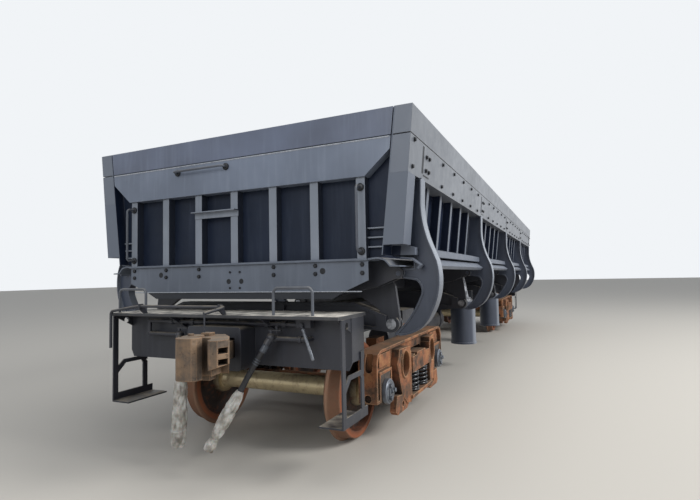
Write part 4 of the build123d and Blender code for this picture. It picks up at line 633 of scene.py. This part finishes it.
# Painted shade: the white film is laid in mid greys for the shade it hangs in under the car
tone = add_node(tree, "ValToRGB", links={0: noise},
                stops=[(0.30, "#6f6a62"), (0.46, "#97938b"), (0.66, "#c1c0bb")])
creases = add_node(tree, "Bump", links={"Height": cells.outputs["Distance"]},
                   values={"Strength": 0.8, "Distance": 0.016})
relief = add_node(tree, "Bump", links={"Height": noise, "Normal": creases},
                  values={"Strength": 0.4, "Distance": 0.004})
shade(WHITE_FILM, {"Base Color": tone, "Normal": relief},
      {"Roughness": 0.48, "Subsurface Weight": 0.15, "Subsurface Scale": 0.01})
print("film has", len(tree.nodes), "nodes")

# %% Film bags
FILM_RINGS, FILM_AROUND, SMOOTHING, UNCREASED = 90, 56, 9, 0.05
# Each bag: the way it hangs, then pairs of distance and radius in millimetres, and where it is tied
FILMS = {
    "brake_hose": ((0.26, -0.42, -0.87), (
        (0, 27), (40, 40), (120, 50), (230, 52), (330, 44), (380, 30), (430, 46), (470, 40)), 0.380),
    "tipping_hose": ((0.02, -0.04, -1.0), (
        (0, 40), (60, 58), (180, 56), (300, 63), (400, 60), (480, 64), (520, 50)), 0.395),
}
# Each set of creases: how many go round, how far they wind for each metre, and their depth
CREASES = ((2, 8, 0.15), (3, -13, 0.13), (5, 7, 0.08), (4, -26, 0.07), (7, 18, 0.04), (3, 48, 0.05))


def film_start(name):
    """Point where a bag starts: the end of its hose."""
    return np.array(HOSES[name][-1]) + (0, 0, RAIL_TOP)


def film_points(start, lean, profile, seed):
    """Bag along the lean: radius(s, a) = profile(s) less the sum of depth (1 - |sin(n a + m s + p)|)^2."""
    stations, radii = np.array(profile, float).T / 1000
    s = np.linspace(0, stations[-1], FILM_RINGS)
    kernel = np.hanning(SMOOTHING) / np.hanning(SMOOTHING).sum()
    mean = np.interp(s, stations, radii)
    mean = np.convolve(np.pad(mean, SMOOTHING // 2, mode="edge"), kernel, mode="valid")
    path = start + s[:, None] * np.array(lean) / np.linalg.norm(lean)
    angle = np.linspace(0, 2 * np.pi, FILM_AROUND, endpoint=False)
    chance = np.random.default_rng(seed)
    fade = np.clip(s / UNCREASED, 0, 1)[:, None]
    crumple = np.zeros((FILM_RINGS, FILM_AROUND))
    for lobes, twist, depth in CREASES:
        phase = chance.uniform(0, 2 * np.pi)
        waver = 0.8 * np.sin(s * chance.uniform(15, 40) + phase)[:, None]
        crumple += depth * (1 - np.abs(np.sin(lobes * angle + twist * s[:, None] + waver + phase))) ** 2
    return tube_points(path, mean[:, None] * (1.0 - fade * crumple), FILM_AROUND)


for seed, (name, (lean, profile, _)) in enumerate(FILMS.items(), start=3):
    points = film_points(film_start(name), lean, profile, seed)
    piece = make_piece(name + "_wrap", points, tube_faces(FILM_RINGS, FILM_AROUND), "underframe",
                       WHITE_FILM, "white_film")
    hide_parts(name + "_film")
    print(piece.name, "has", len(piece.data.polygons), "faces")

# %% [markdown]
# ## Hose fittings
# A painted nipple joins each hose to its cock, three clamp rings hold the rubber on it further
# down, and one strip ties each film. All are sleeves round the line of the hose or the bag.


# %% Sleeves, rings and ties
def along_line(line, lengths):
    """Points at the given distances from the start of a line, by interpolation of its arc length."""
    reach = np.concatenate([[0.0], np.cumsum(np.linalg.norm(np.diff(line, axis=0), axis=1))])
    return np.stack([np.interp(lengths, reach, line[:, axis]) for axis in range(3)], axis=1)


def sleeve(line, start, end, radius, rings=8, around=20):
    """Closed sleeve with a small round at both ends, where its radius is 1.5 mm less."""
    path = along_line(line, np.linspace(start, end, rings))
    profile = np.full(rings, radius)
    profile[[0, -1]] = radius - 0.0015
    return tube_points(path, profile, around), tube_faces(rings, around)


NIPPLE_LENGTH, NIPPLE_RADIUS = 0.060, 0.0262
CLAMP_STARTS, CLAMP_WIDTH, CLAMP_RADIUS = (0.118, 0.136, 0.154), 0.009, 0.0253
TIE_HALF, TIE_LIFT = 0.007, 0.002
for name, line in hose_lines.items():
    nipple = sleeve(line, 0.0, NIPPLE_LENGTH, NIPPLE_RADIUS)
    make_piece(name + "_nipple", *nipple, "underframe", FASTENER_SLATE, "bright_steel")
    clamps = joined([sleeve(line, start, start + CLAMP_WIDTH, CLAMP_RADIUS) for start in CLAMP_STARTS])
    make_piece(name + "_clamp_rings", *clamps, "underframe", FASTENER_SLATE, "bright_steel")

for name, (lean, profile, tie_at) in FILMS.items():
    radius = float(np.interp(tie_at * 1000, *np.array(profile, float).T)) / 1000
    # A bag hangs straight, so half a metre along its lean serves as the line of its tie
    axis = film_start(name) + np.linspace(0, 0.5, 50)[:, None] * np.array(lean) / np.linalg.norm(lean)
    tie = sleeve(axis, tie_at - TIE_HALF, tie_at + TIE_HALF, radius + TIE_LIFT)
    make_piece(name + "_film_tie", *tie, "underframe", WHITE_FILM, "white_film")
    print(name, "film is tied at", tie_at, "m, where its radius is", round(radius, 4))

# %% [markdown]
# ## Coil springs
# Under each bolster end five coil springs stand on the side frame. A spring is a helix of round
# wire with its last turns wound flat, and between them the height climbs evenly.

# %% Springs
SPRING_FOOT, SPRING_HEAD = 0.270 + RAIL_TOP, 0.470 + RAIL_TOP
SPRING_RADIUS, SPRING_WIRE = 0.070, 0.028
SPRING_TURNS, FLAT_TURNS, STEPS_PER_TURN = 5.5, 0.6, 24
JOURNAL_Y = 0.978
SPRING_SPOTS = [(x, y) for x in (-0.150, 0.150) for y in (-0.078, 0.078)] + [(0.0, 0.0)]


def coil_spring(around=8):
    """Helix x = R cos(t), y = R sin(t), z climbing evenly between two flat end turns."""
    steps = int(SPRING_TURNS * STEPS_PER_TURN)
    turn = np.linspace(0, SPRING_TURNS, steps)
    climb = np.clip((turn - FLAT_TURNS) / (SPRING_TURNS - 2 * FLAT_TURNS), 0, 1)
    height = SPRING_FOOT + SPRING_WIRE / 2 + climb * (SPRING_HEAD - SPRING_FOOT - SPRING_WIRE)
    angle = 2 * np.pi * turn
    path = np.stack([SPRING_RADIUS * np.cos(angle), SPRING_RADIUS * np.sin(angle), height], axis=1)
    return tube_points(path, SPRING_WIRE / 2, around), tube_faces(steps, around)


for bogie, middle in (("bogie_a", BOGIE_X), ("bogie_b", -BOGIE_X)):
    places = [(x + middle, y + side * JOURNAL_Y, 0.0) for side in (-1, 1) for x, y in SPRING_SPOTS]
    points, faces = stamp(coil_spring(), places, np.eye(3))
    piece = make_piece(bogie + "_coil_springs", points, faces, bogie, SPRING_BLACK, "spring_steel")
    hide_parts(bogie + "_springs")
    print(piece.name, "has", len(piece.data.polygons), "faces")

# %% [markdown]
# ## Bolts and slots of the side bands
# The side bands carry a row of round black bolts above and below, and pairs behind each door arm. A
# head is a profile turned about its axis: washer, shank of the head, then a chamfer up to a flat
# top. Behind each arm the band also has an upright slot whose foot turns along the car. Both runs
# are near-black insets in a thin rim, a painted shade for the depth of the slot.


# %% Bolts and slots
def turned_head(profile, around):
    """Closed head: rings of the profile's (radius, height) pairs turned about Z."""
    angle = np.linspace(0, 2 * np.pi, around, endpoint=False)
    radii, heights = np.array(profile).T
    rings = np.stack([radii[:, None] * np.cos(angle), radii[:, None] * np.sin(angle),
                      np.broadcast_to(heights[:, None], (len(radii), around))], axis=-1)
    return rings.reshape(-1, 3), tube_faces(len(radii), around)


def inset_plate(width, height, around=8):
    """Closed inset with rounded corners: four outlines, the last one set back inside the rim."""
    corner = min(width, height) * 0.3
    turn = np.radians(np.arange(4 * around) * 90 / around + 45 / around)
    centre_u = np.sign(np.cos(turn)) * (width / 2 - corner)
    centre_v = np.sign(np.sin(turn)) * (height / 2 - corner)
    rings = [np.stack([centre_u + (corner - inward) * np.cos(turn),
                       centre_v + (corner - inward) * np.sin(turn), np.full(len(turn), rise)], axis=1)
             for inward, rise in ((0.0, -0.001), (0.0, 0.0015), (0.003, 0.0020), (0.0035, 0.0006))]
    return np.concatenate(rings), tube_faces(len(rings), 4 * around)


ROUND_HEAD = turned_head(
    ((0.019, -0.001), (0.019, 0.003), (0.0145, 0.0032), (0.0145, 0.013), (0.012, 0.016)), 12)
ARM_SPACING, ARM_STATIONS = 2.730, 5
stations = (np.arange(ARM_STATIONS) - (ARM_STATIONS - 1) / 2) * ARM_SPACING
WALL_FOOT_Z, WALL_TOP_Z, WALL_FOOT_Y, WALL_TOP_Y = 1.637, 2.635, 1.486, 1.583
WALL_SLOPE = (WALL_TOP_Y - WALL_FOOT_Y) / (WALL_TOP_Z - WALL_FOOT_Z)
DOORS = ((1, "right_door"), (-1, "left_door"))


def on_side_wall(shape, spots, side):
    """Copies of a shape on the outer face of a side wall, at places along the car and heights over
    the rail. The wall leans out by its slope: y = foot + slope (z - foot z)."""
    places = [(x * side, side * (WALL_FOOT_Y + WALL_SLOPE * (z - WALL_FOOT_Z)), z + RAIL_TOP)
              for x, z in spots]
    return stamp(shape, places, facing((0, side, -WALL_SLOPE)))


CORNER_BOLTS = ((5.677, 2.399), (5.689, 2.201))
PAIR_LAGS, PAIR_HEIGHTS = (0.121, 0.203), (2.340, 2.234)
ROW_LAGS, ROW_HEIGHTS = [0.65 + 0.457 * step for step in range(5)], (2.388, 2.194)
band_spots = [*CORNER_BOLTS]
for station in stations[1:]:
    band_spots += [(station - lag, z) for lag in PAIR_LAGS for z in PAIR_HEIGHTS]
    band_spots += [(station - lag, z) for lag in ROW_LAGS for z in ROW_HEIGHTS]
band_spots += [(-x, z) for x, z in CORNER_BOLTS] + [(stations[0] + PAIR_LAGS[0], z) for z in PAIR_HEIGHTS]
for side, door in DOORS:
    bolts = on_side_wall(ROUND_HEAD, band_spots, side)
    make_piece(door + "_band_bolts", *bolts, door, BLACK_FASTENERS_AND_HOLE_SHADE, "slate_paint", smooth=False)

# Each run of the slot: its inset, how far it lies behind the arm's station, and its height
SLOT_RUNS = ((inset_plate(0.036, 0.212), 0.032, 2.302), (inset_plate(0.160, 0.012), 0.136, 2.188))
# Painted shade: the slots are raised insets laid near black for the shade inside a slot
for side, door in DOORS:
    slots = joined([on_side_wall(inset, [(station - lag, z) for station in stations], side)
                    for inset, lag, z in SLOT_RUNS])
    make_piece(door + "_band_slots", *slots, door, BLACK_FASTENERS_AND_HOLE_SHADE, "slate_paint", smooth=False)
print("each side band has", len(band_spots), "bolts and", len(stations), "slots")

# %% [markdown]
# ## Rims of the door arms
# Each curved arm ends outwards in a flat strip that is wider than its plate, and the strips draw
# the pale S lines along the car's side. The edge is two straight runs joined by arcs, and an arc
# is known from three of its points: its centre lies as far from each of them.

# %% Arm rims
RIM_HALF, RIM_DEPTH, RIM_ROUND, RIM_SETBACK = 0.062, 0.012, 0.003, 0.0004
# The foot of an arm swings in between two bearers that stand 100 mm apart, so its rim narrows there
FOOT_RIM_HALF, FOOT_Z, FULL_RIM_Z = 0.043, 1.010, 1.065
ARM_EDGE = (((1.5557, 2.140), (1.549, 1.960)), ((1.549, 1.960), (1.568, 1.780), (1.625, 1.605)),
            ((1.625, 1.605), (1.657, 1.524)), ((1.657, 1.524), (1.672, 1.330), (1.611, 1.132)),
            ((1.611, 1.132), (1.500, 1.004), (1.380, 0.9595)))


def edge_points(knots, count=16):
    """Points along a straight run (two knots) or along the circle through three knots."""
    knots = np.array(knots)
    share = np.linspace(0, 1, count)
    if len(knots) == 2:
        return knots[0] + share[:, None] * (knots[1] - knots[0])
    squares = (knots ** 2).sum(axis=1)
    centre = np.linalg.solve(2 * (knots[1:] - knots[0]), squares[1:] - squares[0])
    angles = np.unwrap(np.arctan2(*(knots - centre).T[::-1]))
    angles = angles[0] + share * (angles[2] - angles[0])
    return centre + np.linalg.norm(knots[0] - centre) * np.stack([np.cos(angles), np.sin(angles)], axis=1)


edge = np.concatenate([edge_points(knots)[:-1] for knots in ARM_EDGE])
along = np.gradient(edge, axis=0)
along /= np.linalg.norm(along, axis=1)[:, None]
outward = np.stack([-along[:, 1], along[:, 0]], axis=1)
section = np.array([
    (-RIM_HALF + RIM_ROUND, RIM_SETBACK), (-RIM_HALF, RIM_SETBACK + RIM_ROUND), (-RIM_HALF, RIM_DEPTH),
    (RIM_HALF, RIM_DEPTH), (RIM_HALF, RIM_SETBACK + RIM_ROUND), (RIM_HALF - RIM_ROUND, RIM_SETBACK)])
share = np.interp(edge[:, 1], [FOOT_Z, FULL_RIM_Z], [FOOT_RIM_HALF / RIM_HALF, 1.0])
rings = np.concatenate([edge[:, None] - section[None, :, 1:] * outward[:, None],
                        section[None, :, :1] * share[:, None, None]], axis=2)
for side, door in DOORS:
    # The left strip is the right one's mirror image, so its rings run the other way round
    strip = np.stack([rings[..., 2], side * rings[..., 0], rings[..., 1] + RAIL_TOP], axis=-1)
    strip = (strip[:, ::-side].reshape(-1, 3), tube_faces(len(edge), len(section)))
    rims = stamp(strip, [(station, 0, 0) for station in stations], np.eye(3))
    make_piece(door + "_arm_rims", *rims, door, ARM_ENAMEL, "slate_paint", smooth=False)
print("arm rim measures", round(float(np.linalg.norm(np.diff(edge, axis=0), axis=1).sum()), 3),
      "m along its edge")

# %% [markdown]
# ## Bolts, irons' feet, sill holes and the beads
# The end sills carry pairs of hexagon bolts at each rib, and the grab irons stand in dark clamps.
# The end sill has two large and two small lightening holes, drawn as black discs in a rolled rim,
# the black being painted shade for the hole's depth, with small bolts round the middle pair. The seam
# under the top board and the foot of the sill are closed by a weld bead laid pale as a painted
# highlight of the light line these edges catch: a bar with a slight ripple along it.

# %% Bolts, clamps and holes
HEX_HEAD = turned_head(
    ((0.019, -0.001), (0.019, 0.003), (0.0155, 0.0032), (0.0155, 0.012), (0.0125, 0.014)), 6)
COLLAR = turned_head(((0.030, -0.001), (0.030, 0.010), (0.024, 0.016), (0.012, 0.018)), 14)
HOLE = turned_head(((0.024, -0.001), (0.024, 0.0015), (0.019, 0.0020), (0.018, 0.0006)), 20)
SMALL_BOLT = turned_head(((0.010, -0.001), (0.010, 0.007), (0.007, 0.010)), 6)
BODY_HALF, RIB_FACE_X, END_SILL_X = 5.775, 5.753, 5.749
RIB_LINES = (-1.158, -0.765, -0.385, 0.385, 0.765, 1.158)
SILL_BOLTS = [(END_SILL_X, y, z) for y in RIB_LINES for z in (1.502, 1.439)]
IRON_FEET = [(BODY_HALF, -0.600, 2.365), (BODY_HALF, -0.065, 2.365)]
IRON_FEET += [(RIB_FACE_X, y, z) for y in (-1.158, 1.158) for z in (2.075, 1.600)]
HOLES = [(END_SILL_X, y, z) for y, z in ((-0.828, 1.460), (0.828, 1.460), (-0.065, 1.393), (0.065, 1.393))]
HOLE_SIZES = [1.0, 1.0, 0.9, 0.9] * 2
SMALL_BOLTS = [(END_SILL_X, y, z) for y in (-0.050, 0.050) for z in (1.338, 1.470)]
# Each row: name, shape, places at end A, and sizes at both ends. End B is end A turned by 180 degrees
for name, shape, spots, sizes in (
    ("end_sill_bolts", HEX_HEAD, SILL_BOLTS, 1.0),
    ("end_iron_clamps", COLLAR, IRON_FEET, 1.0),
    # Painted shade: the holes are black discs for the shade inside them
    ("end_sill_holes", HOLE, HOLES, HOLE_SIZES),
    ("end_sill_small_bolts", SMALL_BOLT, SMALL_BOLTS, 1.0),
):
    places = [(end * x, end * y, z + RAIL_TOP) for end in (1, -1) for x, y, z in spots]
    turns = [facing((end, 0, 0)) for end in (1, -1) for _ in spots]
    points, faces = stamp(shape, places, turns, sizes)
    make_piece(name, points, faces, "box", BLACK_FASTENERS_AND_HOLE_SHADE, "slate_paint", smooth=False)
    print(name, "has", len(places), "copies")

# %% Weld beads
# Each bead: place along the car, half length, height over the rail, radius
BEADS = ((BODY_HALF - 0.001, 1.404, 2.4200, 0.0062), (END_SILL_X, 1.150, 1.3030, 0.0040))
BEAD_STEPS, BEAD_AROUND, RIPPLE, RIPPLE_LENGTH = 400, 8, 0.14, 0.021
shapes = []
for x, half, z, radius in BEADS:
    bead_y = np.linspace(-half, half, BEAD_STEPS)
    bead_radius = radius * (1 + RIPPLE * np.sin(bead_y * 2 * np.pi / RIPPLE_LENGTH))
    for end in (1, -1):
        path = np.stack([np.full(BEAD_STEPS, end * x), bead_y, np.full(BEAD_STEPS, z + RAIL_TOP)], axis=1)
        shapes.append((tube_points(path, bead_radius, BEAD_AROUND), tube_faces(BEAD_STEPS, BEAD_AROUND)))
# Painted highlight: the beads are laid pale for the light line that the seam and the sill's fold catch
SEAM_HIGHLIGHT = plain_metal("weld_bead_painted_highlight", "#8d939c", "#b9bdc4", 60.0, 0.45, 0.0, 0.0004)
make_piece("end_seam_beads", *joined(shapes), "box", SEAM_HIGHLIGHT, "slate_paint")
print("weld beads:", len(shapes))

# %% [markdown]
# ## The cock lever's grip
# The lever of the tipping line's cock is bare pipe that hands keep clean, thicker than the rod it
# slides on. It is a tube whose radius swells at both ends, like a pipe with a rolled lip.

# %% Lever grip
LEVER_TOP, LEVER_FOOT = np.array((5.936, 0.744, 1.094)), np.array((5.944, 0.842, 0.844))
GRIP_START, LIP_ENDS, LIP_STARTS = 0.10, 0.14, 0.97
GRIP_RADIUS, LIP_RADIUS, MOUTH_RADIUS, GRIP_AROUND = 0.0125, 0.0150, 0.009, 16
share = np.linspace(GRIP_START, 1.0, 24)
grip_radius = np.where((share < LIP_ENDS) | (share > LIP_STARTS), LIP_RADIUS, GRIP_RADIUS)
grip_radius[[0, -1]] = MOUTH_RADIUS
GRIP_STEEL = plain_metal("hand_polished_pipe", "#5c6067", "#868b93", 30.0, 0.36, 0.3, 0.0004)
points = tube_points(LEVER_TOP + share[:, None] * (LEVER_FOOT - LEVER_TOP), grip_radius, GRIP_AROUND)
piece = make_piece("cock_lever_grip", points, tube_faces(len(share), GRIP_AROUND), "underframe",
                   GRIP_STEEL, "bright_steel")
print(piece.name, "is", round(float(np.linalg.norm(points[-1] - points[0])), 3), "m long")

# %% [markdown]
# ## Bearing caps
# Each axle ends in a cap that is held by three screws, locked by one bent plate, with a grease
# plug in its middle. The plate is a ring with three lobes: radius = mean + swing x cos(3 a).


# %% Caps
def lobed_plate(mean, swing, thickness, around=36):
    """Closed plate whose outline is radius(a) = mean + swing cos(3 a), with a chamfered rim."""
    angle = np.linspace(0, 2 * np.pi, around, endpoint=False)
    radius = mean + swing * np.cos(3 * angle)
    rings = [np.stack([r * np.cos(angle), r * np.sin(angle), np.full(around, h)], axis=1)
             for r, h in ((radius, -0.001), (radius, thickness), (radius - 0.003, thickness + 0.002))]
    return np.concatenate(rings), tube_faces(len(rings), around)


CAP_FACE, SCREW_CIRCLE = 1.102, 0.060
SCREW_HEAD = turned_head(((0.021, 0.0), (0.021, 0.014), (0.017, 0.017)), 6)
GREASE_PLUG = turned_head(
    ((0.022, 0.0), (0.022, 0.006), (0.013, 0.0065), (0.013, 0.014), (0.010, 0.016)), 12)
CAP_RING = turned_head(((0.093, -0.001), (0.093, 0.003), (0.088, 0.006)), 48)
# Each part: its shape, its place on the cap's face, and how far it stands off the cap
CAP_PARTS = [(CAP_RING, 0, 0, 0.0), (lobed_plate(0.062, 0.012, 0.006), 0, 0, 0.005),
             (GREASE_PLUG, 0, 0, 0.012)]
CAP_PARTS += [(SCREW_HEAD, SCREW_CIRCLE * np.cos(a), SCREW_CIRCLE * np.sin(a), 0.012)
              for a in np.radians((0, 120, 240))]
AXLES = (BOGIE_X + AXLE_X, BOGIE_X - AXLE_X, -BOGIE_X + AXLE_X, -BOGIE_X - AXLE_X)
for number, axle_x in enumerate(AXLES, start=1):
    shapes = []
    for side in (-1, 1):
        centre, turn = np.array((axle_x, side * CAP_FACE, AXLE_Z)), facing((0, side, 0))
        shapes += [stamp(shape, [centre + turn @ (u, v, rise)], turn) for shape, u, v, rise in CAP_PARTS]
    piece = make_piece(f"wheelset_{number}_cap_screws", *joined(shapes), f"wheelset_{number}",
                       BEARING_STEEL, "bearing_steel", smooth=False)
print("cap pieces have", len(piece.data.polygons), "faces each")
